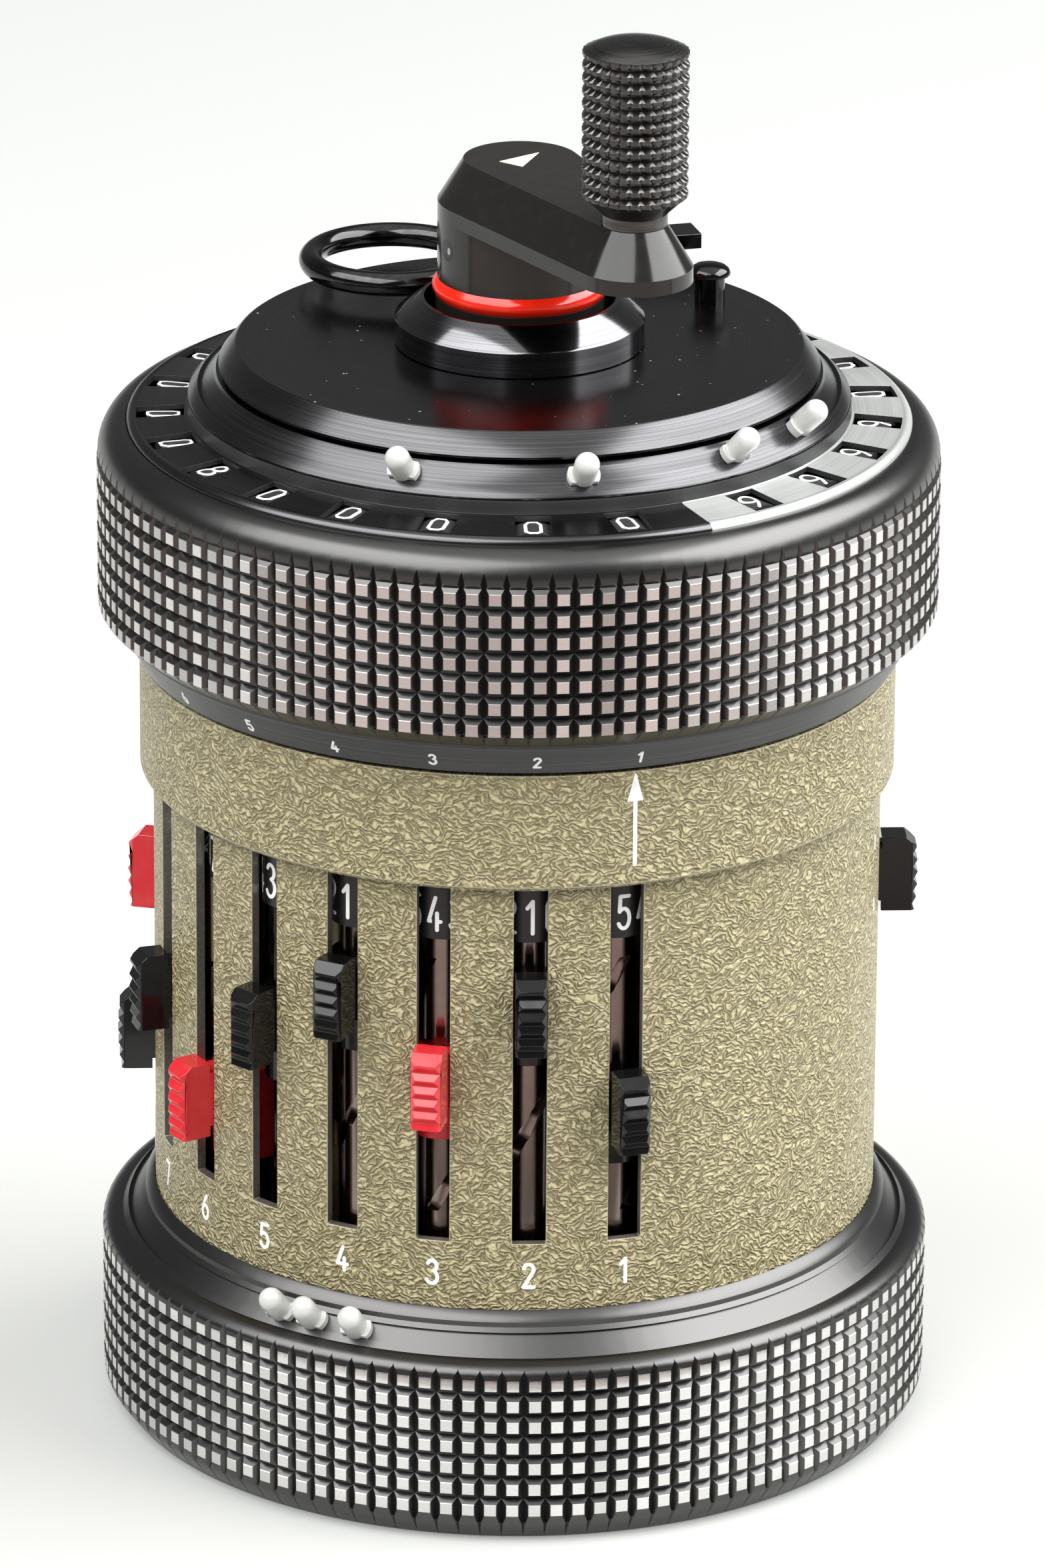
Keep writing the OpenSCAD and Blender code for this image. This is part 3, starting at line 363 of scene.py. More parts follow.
@dataclass(frozen=True)
class KnurledMetal:
    """Black-dyed metal whose raised lands were turned bright again, each column's land with a painted
    reflection: a random tone between a dim and a light colour.
    """

    painted_dim_facet: Colour
    land: Colour
    low: float
    high: float
    radius: float = GRIP_RADIUS
    columns: int = GRIP_COLUMNS
    groove: Colour = (0.09, 0.089, 0.088)

    def make(self, name: str) -> bpy.types.Material:
        """Makes the material.

        Args:
            name: The material's name.

        Returns:
            The material.
        """
        shader = Shader(name)
        radius, angle, z = shader.polar()
        count = shader.maths("FLOOR", angle * (self.columns / TURN) + 0.5)
        lot = shader.out("Value", "ShaderNodeTexWhiteNoise", {"noise_dimensions": "1D"}, {"W": count})
        wear = shader.noise(shader.place(), 0.7, 3.0)
        scratch = shader.noise(shader.join(angle * 40.0, z * 14.0, radius), 1.0, 3.0)
        band = z.step(self.low - 0.05, self.low) * (1.0 - z.step(self.high, self.high + 0.05))
        bright = radius.step(self.radius - 0.06, self.radius - 0.015) * band * wear.step(0.08, 0.2)
        # Painted reflection: each column's land takes a random tone between the dim and the light colour,
        # as if its flat facet mirrored a different part of the room.
        shade = shader.blend(lot, self.painted_dim_facet, self.land)
        shade = shader.blend(scratch.step(0.5, 0.85) * 0.25, shade, (0.42, 0.40, 0.40))
        return shader.finish({
            "Base Color": shader.blend(bright, self.groove, shade),
            "Metallic": 1.0,
            "Roughness": bright * scratch.between(-0.06, 0.06) + bright.between(0.3, 0.26),
            "Normal": shader.bump(scratch, 0.003, 0.5),
        })


@dataclass(frozen=True)
class Gloss:
    """Moulded plastic, enamel or varnish with slight waves and scuffs."""

    colour: Colour
    scuff: Colour
    roughness: float = 0.22
    coat: float = 0.0
    shine: float = 0.5

    def make(self, name: str) -> bpy.types.Material:
        """Makes the material.

        Args:
            name: The material's name.

        Returns:
            The material.
        """
        shader = Shader(name)
        cloud = shader.noise(shader.place(), 0.8, 4.0)
        wave = shader.noise(shader.place(), 0.5, 1.0)
        return shader.finish({
            "Base Color": shader.blend(cloud.step(0.45, 0.85), self.colour, self.scuff),
            "Roughness": cloud.between(0.7, 1.3) * self.roughness,
            "Specular IOR Level": self.shine,
            "Coat Weight": self.coat,
            "Coat Roughness": 0.08,
            "Normal": shader.bump(wave, 0.02, 0.35),
        })


@dataclass(frozen=True)
class DrumShaft:
    """Bronzed shaft whose digit drum at the top is dyed black."""

    bronze: Colour
    black: Colour
    edge: float = 47.4

    def make(self, name: str) -> bpy.types.Material:
        """Makes the material.

        Args:
            name: The material's name.

        Returns:
            The material.
        """
        shader = Shader(name)
        _, _, z = shader.parts(shader.place())
        cloud = shader.noise(shader.place(), 0.9, 3.0)
        drum = z > self.edge
        metal = shader.blend(cloud, self.bronze, (0.2, 0.155, 0.13))
        return shader.finish({
            "Base Color": shader.blend(drum, metal, self.black),
            "Metallic": 1.0 - drum,
            "Roughness": cloud.between(0.12, 0.22) + drum * 0.16,
        })


class Finish(Enum):
    """The finishes that the pieces share."""

    CRINKLE = CrinklePaint((0.205, 0.172, 0.086), (0.56, 0.495, 0.285))
    EDGE_PAINT = Gloss((0.40, 0.36, 0.24), (0.46, 0.42, 0.30), 0.35)
    BARE_WALL = TurnedMetal((0.24, 0.22, 0.20), (0.34, 0.32, 0.29), 0.36, 0.7, 4.0)
    TURNED_BLACK = TurnedMetal((0.06, 0.06, 0.062), (0.10, 0.10, 0.104), 0.2)
    COLLAR_BLACK = TurnedMetal((0.10, 0.10, 0.105), (0.16, 0.16, 0.168), 0.1)
    PLATE_BLACK = TurnedMetal((0.06, 0.06, 0.062), (0.10, 0.10, 0.104), 0.2, dust=1.0)
    INDEX_BLACK = TurnedMetal((0.06, 0.06, 0.062), (0.095, 0.095, 0.098), 0.34, dust=0.3)
    RING_KNURL = KnurledMetal((0.46, 0.45, 0.445), (0.74, 0.72, 0.70), 65.88, 77.1)
    BASE_KNURL = KnurledMetal((0.64, 0.63, 0.62), (0.80, 0.78, 0.76), 2.33, 13.56)
    GUNMETAL = TurnedMetal((0.045, 0.045, 0.046), (0.065, 0.065, 0.067), 0.1, 1.0, 2.0, 0.0006)
    CRANK_BLACK = Gloss((0.012, 0.0108, 0.0095), (0.017, 0.0152, 0.0134), 0.14, 0.0, 0.45)
    KNOB_BLACK = TurnedMetal((0.07, 0.068, 0.066), (0.14, 0.138, 0.135), 0.24, axis=KNOB_AXIS)
    RED_ENAMEL = Gloss((0.82, 0.018, 0.004), (0.84, 0.03, 0.008), 0.16, 0.1)
    BLACK_PLASTIC = Gloss((0.004, 0.004, 0.004), (0.007, 0.007, 0.007), 0.1, 0.0, 0.4)
    RED_PLASTIC = Gloss((0.62, 0.022, 0.03), (0.66, 0.045, 0.05), 0.13, 0.2)
    SILVER = TurnedMetal((0.60, 0.62, 0.60), (0.70, 0.72, 0.70), 0.36, 0.75, 6.0)
    PEARL = Gloss((0.58, 0.58, 0.56), (0.64, 0.64, 0.62), 0.28, 0.3)
    WHITE_INK = Gloss((0.86, 0.86, 0.84), (0.72, 0.72, 0.70), 0.5)
    CREAM_INK = Gloss((0.90, 0.80, 0.56), (0.82, 0.72, 0.50), 0.5)
    DIAL_BLACK = TurnedMetal((0.02, 0.02, 0.021), (0.03, 0.03, 0.031), 0.4, 0.0, 3.0)
    SHAFT = DrumShaft((0.24, 0.20, 0.18), (0.008, 0.008, 0.009))
    STEEL = TurnedMetal((0.42, 0.42, 0.43), (0.55, 0.55, 0.56), 0.3)
    BRASS = TurnedMetal((0.55, 0.40, 0.17), (0.66, 0.50, 0.24), 0.3)

    @property
    def material(self) -> bpy.types.Material:
        """The finish's material, made when it is first asked for."""
        name = f"{self.name.lower()}_finish"
        return bpy.data.materials.get(name) or self.value.make(name)


# Shaping


@dataclass
class Stock:
    """Points in millimetres and faces that become one mesh piece."""

    points: list[Point] = field(default_factory=list)
    faces: list[tuple[int, ...]] = field(default_factory=list)
    tags: list[int] = field(default_factory=list)

    def add(self, points: Iterable[Point], faces: Iterable[tuple[int, ...]], tag: int = 0) -> None:
        """Adds points, and faces that count from the first of them.

        Args:
            points: The new points.
            faces: Their faces.
            tag: The number of the faces' material.
        """
        base = len(self.points)
        self.points.extend(points)
        for face in faces:
            self.faces.append(tuple(base + corner for corner in face))
            self.tags.append(tag)

    def sheet(
        self, rows: Sequence[Sequence[Point]], round_rows: bool, round_all: bool, tag: int = 0
    ) -> None:
        """Adds a sheet of quads over rows of points.

        Args:
            rows: Rows of equal length.
            round_rows: Whether each row closes on itself.
            round_all: Whether the last row joins the first.
            tag: The number of the faces' material.
        """
        tall, wide = len(rows), len(rows[0])
        faces = [
            (
                i * wide + j,
                i * wide + (j + 1) % wide,
                (i + 1) % tall * wide + (j + 1) % wide,
                (i + 1) % tall * wide + j,
            )
            for i in range(tall if round_all else tall - 1)
            for j in range(wide if round_rows else wide - 1)
        ]
        self.add([point for row in rows for point in row], faces, tag)

    def lathe(self, profile: Sequence[Flat], steps: int = 256, axis: Flat = AXIS) -> None:
        """Adds a profile of (radius, height) turned all round; one that starts on the axis stays open.

        Args:
            profile: The closed profile's corners.
            steps: Steps of the full turn.
            axis: Where the axis stands.
        """
        rows = [
            [round_about(radius, 360.0 * k / steps, z, axis) for k in range(steps)]
            for radius, z in profile
        ]
        self.sheet(rows, True, profile[0][0] > 0.0 and profile[-1][0] > 0.0)

    def prism(self, top: Sequence[Point], foot: Sequence[Point]) -> None:
        """Adds a solid between two outlines with equally many corners.

        Args:
            top: The outer outline.
            foot: The one that is sunk in.
        """
        count = len(top)
        faces = [tuple(range(count)), tuple(range(2 * count - 1, count - 1, -1))]
        faces += [(k, (k + 1) % count, count + (k + 1) % count, count + k) for k in range(count)]
        self.add([*top, *foot], faces)

    def piece(self, name: str, finishes: Sequence[Finish], smooth: float = 35.0) -> bpy.types.Object:
        """Makes the mesh piece.

        Args:
            name: The piece's name.
            finishes: The finishes of tags 0, 1, 2 and so on.
            smooth: Edges under this angle, in degrees, shade smoothly.

        Returns:
            The object.
        """
        mesh = bpy.data.meshes.new(name)
        mesh.from_pydata([(x * MM, y * MM, z * MM) for x, y, z in self.points], [], self.faces)
        for finish in finishes:
            mesh.materials.append(finish.material)
        mesh.polygons.foreach_set("material_index", self.tags)
        return settle(name, mesh, smooth)


def settle(name: str, mesh: bpy.types.Mesh, smooth: float) -> bpy.types.Object:
    """Welds a mesh, turns its faces outward and shades it smooth by angle.

    Args:
        name: The object's name.
        mesh: The mesh.
        smooth: Edges under this angle, in degrees, shade smoothly.

    Returns:
        The object, in the scene.
    """
    work = bmesh.new()
    work.from_mesh(mesh)
    bmesh.ops.remove_doubles(work, verts=work.verts, dist=1e-7)
    bmesh.ops.dissolve_degenerate(work, edges=work.edges, dist=1e-7)
    bmesh.ops.recalc_face_normals(work, faces=work.faces)
    for face in work.faces:
        face.smooth = True
    for edge in work.edges:
        sharp = len(edge.link_faces) != 2 or edge.calc_face_angle() > math.radians(smooth)
        edge.smooth = not sharp
    work.to_mesh(mesh)
    work.free()
    made = bpy.data.objects.new(name, mesh)
    bpy.context.scene.collection.objects.link(made)
    return made


def soften(made: bpy.types.Object, width: float, tag: int = -1, limit: float = 35.0) -> None:
    """Rounds a piece's edges.

    Args:
        made: The piece.
        width: The rounding's width in millimetres.
        tag: The number of the rounding's material, or -1 for that beside it.
        limit: Only edges over this angle, in degrees, are rounded.
    """
    rounding = made.modifiers.new("rounding", "BEVEL")
    rounding.width = width * MM
    rounding.segments = 2
    rounding.limit_method = "ANGLE"
    rounding.angle_limit = math.radians(limit)
    rounding.use_clamp_overlap = True
    rounding.harden_normals = False
    rounding.material = tag


def place(made: bpy.types.Object, slot: str, body: str, *nodes: str) -> bpy.types.Object:
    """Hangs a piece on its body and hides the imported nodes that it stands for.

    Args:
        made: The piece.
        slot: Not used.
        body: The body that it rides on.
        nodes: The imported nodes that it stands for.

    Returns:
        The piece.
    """
    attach(made, body)
    if nodes:
        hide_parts(*nodes)
    LOG.info("piece %s on %s", made.name, body)
    return made


def recast(
    node: str, finish: Finish, slot: str, width: float = 0.12, smooth: float = 32.0
) -> bpy.types.Object:
    """Stands a welded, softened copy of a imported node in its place.

    Args:
        node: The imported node.
        finish: The copy's finish.
        slot: The record's material slot.
        width: The rounding of its edges in millimetres; 0 for none.
        smooth: Edges under this angle, in degrees, shade smoothly.

    Returns:
        The copy.
    """
    mesh = frame["nodes"][node].data.copy()
    work = bmesh.new()
    work.from_mesh(mesh)
    bmesh.ops.remove_doubles(work, verts=work.verts, dist=2e-6)
    bmesh.ops.dissolve_limit(
        work, angle_limit=math.radians(0.4), verts=work.verts, edges=work.edges, delimit={"NORMAL"}
    )
    work.to_mesh(mesh)
    work.free()
    mesh.materials.clear()
    mesh.materials.append(finish.material)
    made = settle(f"{node}_skin", mesh, smooth)
    if width:
        soften(made, width)
    return place(made, slot, body_of(node), node)


def dress(nodes: Iterable[str], finish: Finish) -> None:
    """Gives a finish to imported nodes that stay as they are.

    Args:
        nodes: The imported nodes.
        finish: Their finish.
    """
    for node in nodes:
        held = frame["nodes"][node].data.materials
        held.clear()
        held.append(finish.material)


def turned(node: str, finish: Finish, slot: str, profile: Sequence[Flat], smooth: float = 25.0) -> None:
    """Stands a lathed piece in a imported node's place.

    Args:
        node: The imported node.
        finish: The piece's finish.
        slot: The record's material slot.
        profile: The closed profile's corners as (radius, height).
        smooth: Edges under this angle, in degrees, shade smoothly.
    """
    stock = Stock()
    stock.lathe(profile)
    place(stock.piece(f"{node}_skin", (finish,), smooth), slot, body_of(node), node)


def printed(stock: Stock, name: str, body: str, ink: Finish = Finish.WHITE_INK) -> None:
    """Makes a piece of what is printed on a body."""
    place(stock.piece(name, (ink,)), "white_pin", body)


@dataclass(frozen=True)
class Column:
    """One column of a pierced shell: a line at a fixed distance from a ray from the axis."""

    angle: float
    offset: float = 0.0

    def at(self, spot: Flat) -> Point:
        """Gives the point at a profile's (radius, height)."""
        turn = math.degrees(math.asin(self.offset / spot[0]))
        return round_about(spot[0], self.angle + turn, spot[1])


@dataclass
class PiercedShell:
    """A turned shell of two sheets with openings between rows and columns."""

    outer: list[Flat]
    inner: list[Flat]
    columns: list[Column]
    openings: set[tuple[int, int]]
    closed: bool = True

    def cut(self) -> Stock:
        """Makes both sheets, and the walls between them.

        Returns:
            The shell's stock, with its openings' walls tagged 1.
        """
        stock = Stock()
        tall, wide = len(self.outer), len(self.columns)
        sheets = (self.outer, self.inner)
        points = [column.at(spot) for sheet in sheets for spot in sheet for column in self.columns]
        bands = wide if self.closed else wide - 1

        def corner(side: int, row: int, column: int) -> int:
            """Gives the number of a point."""
            return (side * tall + row) * wide + column % wide

        def within(row: int, column: int) -> bool:
            """Tells whether a cell lies inside the sheet."""
            return 0 <= row < tall - 1 and (self.closed or 0 <= column < bands)

        def solid(row: int, column: int) -> bool:
            """Tells whether a cell lies inside the sheet and isn't open."""
            return within(row, column) and (row, column % bands) not in self.openings

        skin: list[tuple[int, ...]] = []
        walls: list[tuple[int, ...]] = []
        rims: list[tuple[int, ...]] = []
        for row in range(tall - 1):
            for column in range(bands):
                if not solid(row, column):
                    continue
                for side in (0, 1):
                    skin.append((
                        corner(side, row, column),
                        corner(side, row, column + 1),
                        corner(side, row + 1, column + 1),
                        corner(side, row + 1, column),
                    ))
                borders = (
                    ((row - 1, column), (row, column), (row, column + 1)),
                    ((row + 1, column), (row + 1, column), (row + 1, column + 1)),
                    ((row, column - 1), (row, column), (row + 1, column)),
                    ((row, column + 1), (row, column + 1), (row + 1, column + 1)),
                )
                for beside, start, end in borders:
                    if solid(*beside):
                        continue
                    face = (corner(0, *start), corner(0, *end), corner(1, *end), corner(1, *start))
                    (walls if within(*beside) else rims).append(face)
        stock.add(points, skin + rims)
        stock.faces.extend(walls)
        stock.tags.extend([1] * len(walls))
        return stock


@dataclass(frozen=True)
class Numerals:
    """Plain figures drawn with strokes of even width and laid on any surface."""

    height: float
    stroke: float
    width: float = 1.0
    depth: float = 0.03
    spacing: float = 0.62

    @staticmethod
    def arc(x: float, y: float, rx: float, ry: float, start: float, end: float) -> list[Flat]:
        """Gives points along part of an ellipse.

        Args:
            x: The centre's place to the right.
            y: Its height.
            rx: The half width.
            ry: The half height.
            start: The first angle in degrees.
            end: The last.

        Returns:
            The points, both ends included.
        """
        steps = max(6, int(abs(end - start) / 18.0))
        turns = [math.radians(start + (end - start) * k / steps) for k in range(steps + 1)]
        return [(x + rx * math.cos(turn), y + ry * math.sin(turn)) for turn in turns]

    def strokes(self, figure: str) -> list[list[Flat]]:
        """Gives a figure's centre lines in a box one unit tall.

        Args:
            figure: One of the ten digits.

        Returns:
            The lines; one that ends where it starts is a loop.
        """
        arc = self.arc
        if figure == "9":
            return [[(-x, 1.0 - y) for x, y in line] for line in self.strokes("6")]
        shapes: dict[str, list[list[Flat]]] = {
            "0": [[
                (0.11, 1.0), (-0.11, 1.0), (-0.2, 0.83), (-0.2, 0.17), (-0.11, 0.0),
                (0.11, 0.0), (0.2, 0.17), (0.2, 0.83), (0.11, 1.0),
            ]],
            "1": [[(0.06, 0.0), (0.06, 1.0)], [(0.06, 1.0), (-0.14, 0.78)]],
            "2": [arc(0, 0.77, 0.2, 0.23, 165, -35) + [(-0.21, 0.0)], [(-0.21, 0.0), (0.21, 0.0)]],
            "3": [arc(-0.01, 0.77, 0.19, 0.23, 155, -80), arc(-0.02, 0.275, 0.23, 0.275, 80, -155)],
            "4": [[(0.04, 1.0), (-0.22, 0.26)], [(-0.22, 0.26), (0.23, 0.26)], [(0.1, 0.52), (0.1, 0.0)]],
            "5": [
                [(0.18, 1.0), (-0.15, 1.0)],
                [(-0.15, 1.0), (-0.18, 0.53)],
                [(-0.18, 0.53)] + arc(-0.02, 0.31, 0.22, 0.31, 120, -150),
            ],
            "6": [arc(0, 0.29, 0.21, 0.29, 0, 360), [(0.1, 1.0), (-0.09, 0.68), (-0.19, 0.42)]],
            "7": [[(-0.21, 1.0), (0.21, 1.0)], [(0.21, 1.0), (-0.07, 0.0)]],
            "8": [arc(0, 0.765, 0.17, 0.235, 0, 360), arc(0, 0.27, 0.21, 0.27, 0, 360)],
        }
        return shapes[figure]

    def ribbon(self, line: Sequence[Flat]) -> tuple[list[tuple[Flat, Flat]], bool]:
        """Widens a centre line.

        Args:
            line: Points in millimetres.

        Returns:
            Pairs of edge points along the line, and whether it is a loop.
        """
        half = self.stroke / 2.0
        loop = math.dist(line[0], line[-1]) < 1e-6 and len(line) > 2
        spots = [Vector(spot) for spot in (line[:-1] if loop else line)]
        count = len(spots)
        pairs: list[tuple[Vector, Vector, float]] = []
        for k, spot in enumerate(spots):
            before = spots[k - 1] if loop or k else spot
            after = spots[(k + 1) % count] if loop or k + 1 < count else spot
            along = (after - before).normalized()
            pairs.append((spot, along, half))
        if not loop:
            caps = [math.radians(15.0 + 25.0 * k) for k in range(3)]
            first, last = pairs[0], pairs[-1]
            start = [(first[0] - first[1] * half * math.cos(a), first[1], half * math.sin(a)) for a in caps]
            end = [(last[0] + last[1] * half * math.cos(a), last[1], half * math.sin(a)) for a in caps]
            pairs = start + pairs + end[::-1]
        edges = []
        for spot, along, reach in pairs:
            side = Vector((-along.y, along.x)) * reach
            edges.append((tuple(spot + side), tuple(spot - side)))
        return edges, loop

    def lay(self, stock: Stock, text: str, mapper: Mapper) -> None:
        """Lays figures side by side, centred, on a surface.

        Args:
            stock: Where the solids go.
            text: The digits.
            mapper: Turns (right, up, out) in millimetres into a point.
        """
        reach = self.height - self.stroke
        pitch = reach * self.spacing * self.width + self.stroke
        for place_number, figure in enumerate(text):
            middle = (place_number - (len(text) - 1) / 2.0) * pitch
            for line in self.strokes(figure):
                spots = [(middle + x * reach * self.width, (y - 0.5) * reach) for x, y in line]
                self.solid(stock, self.ribbon(spots), mapper)

    def solid(self, stock: Stock, ribbon: tuple[list[tuple[Flat, Flat]], bool], mapper: Mapper) -> None:
        """Adds a widened line as a thin solid that sinks into the surface under it.

        Args:
            stock: Where the solid goes.
            ribbon: Pairs of edge points, and whether they loop.
            mapper: Turns (right, up, out) in millimetres into a point.
        """
        edges, loop = ribbon
        rows = [
            [
                mapper(*left, self.depth),
                mapper(*right, self.depth),
                mapper(*right, -self.depth),
                mapper(*left, -self.depth),
            ]
            for left, right in edges
        ]
        stock.sheet(rows, True, loop)
        if not loop:
            base = len(stock.points) - 4 * len(rows)
            end = len(stock.points) - 4
            for first in (base, end):
                stock.faces.append((first, first + 1, first + 2, first + 3))
                stock.tags.append(0)


def on_tube(radius: float, angle: float, z: float, rise: float = 0.0) -> Mapper:
    """Maps flat figures onto an upright tube or cone.

    Args:
        radius: The radius at the figure's middle.
        angle: The figure's angle in degrees.
        z: The middle's height.
        rise: How much the radius grows for each millimetre of height.

    Returns:
        The mapper.
    """
    slant = math.hypot(1.0, rise)

    def mapper(right: float, up: float, out: float) -> Point:
        """Maps one point."""
        reach = radius + (up * rise + out) / slant
        return round_about(reach, angle + math.degrees(right / radius), z + (up - out * rise) / slant)

    return mapper


def on_drum(centre: Point, radius: float, angle: float) -> Mapper:
    """Maps figures onto a small drum that lies along a ray from the main axis, to be read from outside.

    Args:
        centre: The middle of the drum's axis.
        radius: The drum's radius.
        angle: The ray's angle in degrees.

    Returns:
        The mapper.
    """
    turn = math.radians(angle)
    outward = Vector((math.sin(turn), -math.cos(turn), 0.0))
    sideways = Vector((math.cos(turn), math.sin(turn), 0.0))
    upward = Vector((0.0, 0.0, 1.0))

    def mapper(right: float, up: float, out: float) -> Point:
        """Maps one point."""
        around = sideways * math.sin(right / radius) + upward * math.cos(right / radius)
        return tuple(Vector(centre) - outward * up + around * (radius + out))

    return mapper


@dataclass(frozen=True)
class Knurl:
    """Rows of lands with cross grooves, turned round an upright axis."""

    radius: float
    first: float
    columns: int = GRIP_COLUMNS
    rows: int = 7
    pitch: float = 1.73
    land: float = 0.86
    groove: float = 0.5
    width: float = 0.8
    depth: float = 0.5
    axis: Flat = AXIS

    def lands(self) -> list[Corner]:
        """Lays out the rows of lands.

        Returns:
            Their profile as ((radius, height), share of the cross groove's depth).
        """
        made: list[Corner] = []
        for row in range(self.rows):
            z = self.first + row * self.pitch
            if row:
                made.append(((self.radius - self.groove, z - self.pitch / 2.0), 1.0))
            made.append(((self.radius, z - self.land / 2.0), 1.0))
            made.append(((self.radius, z + self.land / 2.0), 1.0))
        return made

    def roll(self, profile: Sequence[Corner], stock: Stock, closed: bool = True) -> None:
        """Turns a profile and cuts the cross grooves where its share isn't 0.

        Args:
            profile: Corners as ((radius, height), share of the groove's depth).
            stock: Where the sheet goes.
            closed: Whether the profile closes on itself; one that doesn't has both ends on the axis.
        """
        step = 360.0 / self.columns
        least = step * 0.004
        full = math.degrees(self.width / 2.0 / self.radius)
        rows: list[list[Point]] = []
        for (radius, z), share in profile:
            floor = min(radius, self.radius - self.depth * share)
            half = max(least, full * min(1.0, (radius - floor) / self.depth))
            row: list[Point] = []
            for k in range(self.columns):
                middle = (k + 0.5) * step
                row.append(round_about(radius, k * step, z, self.axis))
                row.append(round_about(radius, middle - half, z, self.axis))
                row.append(round_about(floor, middle, z, self.axis))
                row.append(round_about(radius, middle + half, z, self.axis))
            rows.append(row)
        stock.sheet(rows, True, closed)


def plain(spots: Iterable[Flat]) -> list[Corner]:
    """Gives a profile's corners that the cross grooves don't reach."""
    return [(spot, 0.0) for spot in spots]


def run_out(spots: Sequence[Flat], length: float, least: float = 0.15) -> list[Corner]:
    """Lets cross grooves run out up a shoulder.

    Args:
        spots: The shoulder's corners as (radius, height), the lowest first.
        length: The height over which the grooves run out.
        least: The share of their depth that they keep.

    Returns:
        The corners with their shares of the grooves' depth.
    """
    foot = spots[0][1]
    return [(spot, max(least, 1.0 - (spot[1] - foot) / length)) for spot in spots]


def bow(start: Flat, end: Flat, steps: int) -> list[Flat]:
    """Gives a quarter of an ellipse between two corners, upright at the start and level at the end.

    Args:
        start: The lower corner as (radius, height).
        end: The upper corner.
        steps: The number of steps.

    Returns:
        The points, both ends included.
    """
    made = []
    for k in range(steps + 1):
        turn = math.pi / 2.0 * k / steps
        radius = end[0] + (start[0] - end[0]) * math.cos(turn)
        made.append((radius, start[1] + (end[1] - start[1]) * math.sin(turn)))
    return made


def track(radius: float, z: float, slit: float = 1.5, depth: float = 0.25) -> list[Flat]:
    """Gives a marker slit's corners in a face that slopes out and down at 45 degrees, outer side first.

    Args:
        radius: The slit's radius at the face.
        z: Its height there.
        slit: Its width.
        depth: Its depth.

    Returns:
        The corners as (radius, height).
    """
    diagonal = math.sqrt(0.5)
    spots = [(slit / 2.0, 0.0), (slit / 2.0, -depth), (-slit / 2.0, -depth), (-slit / 2.0, 0.0)]
    return [(radius + (a + b) * diagonal, z + (b - a) * diagonal) for a, b in spots]


# The object's sub-assemblies


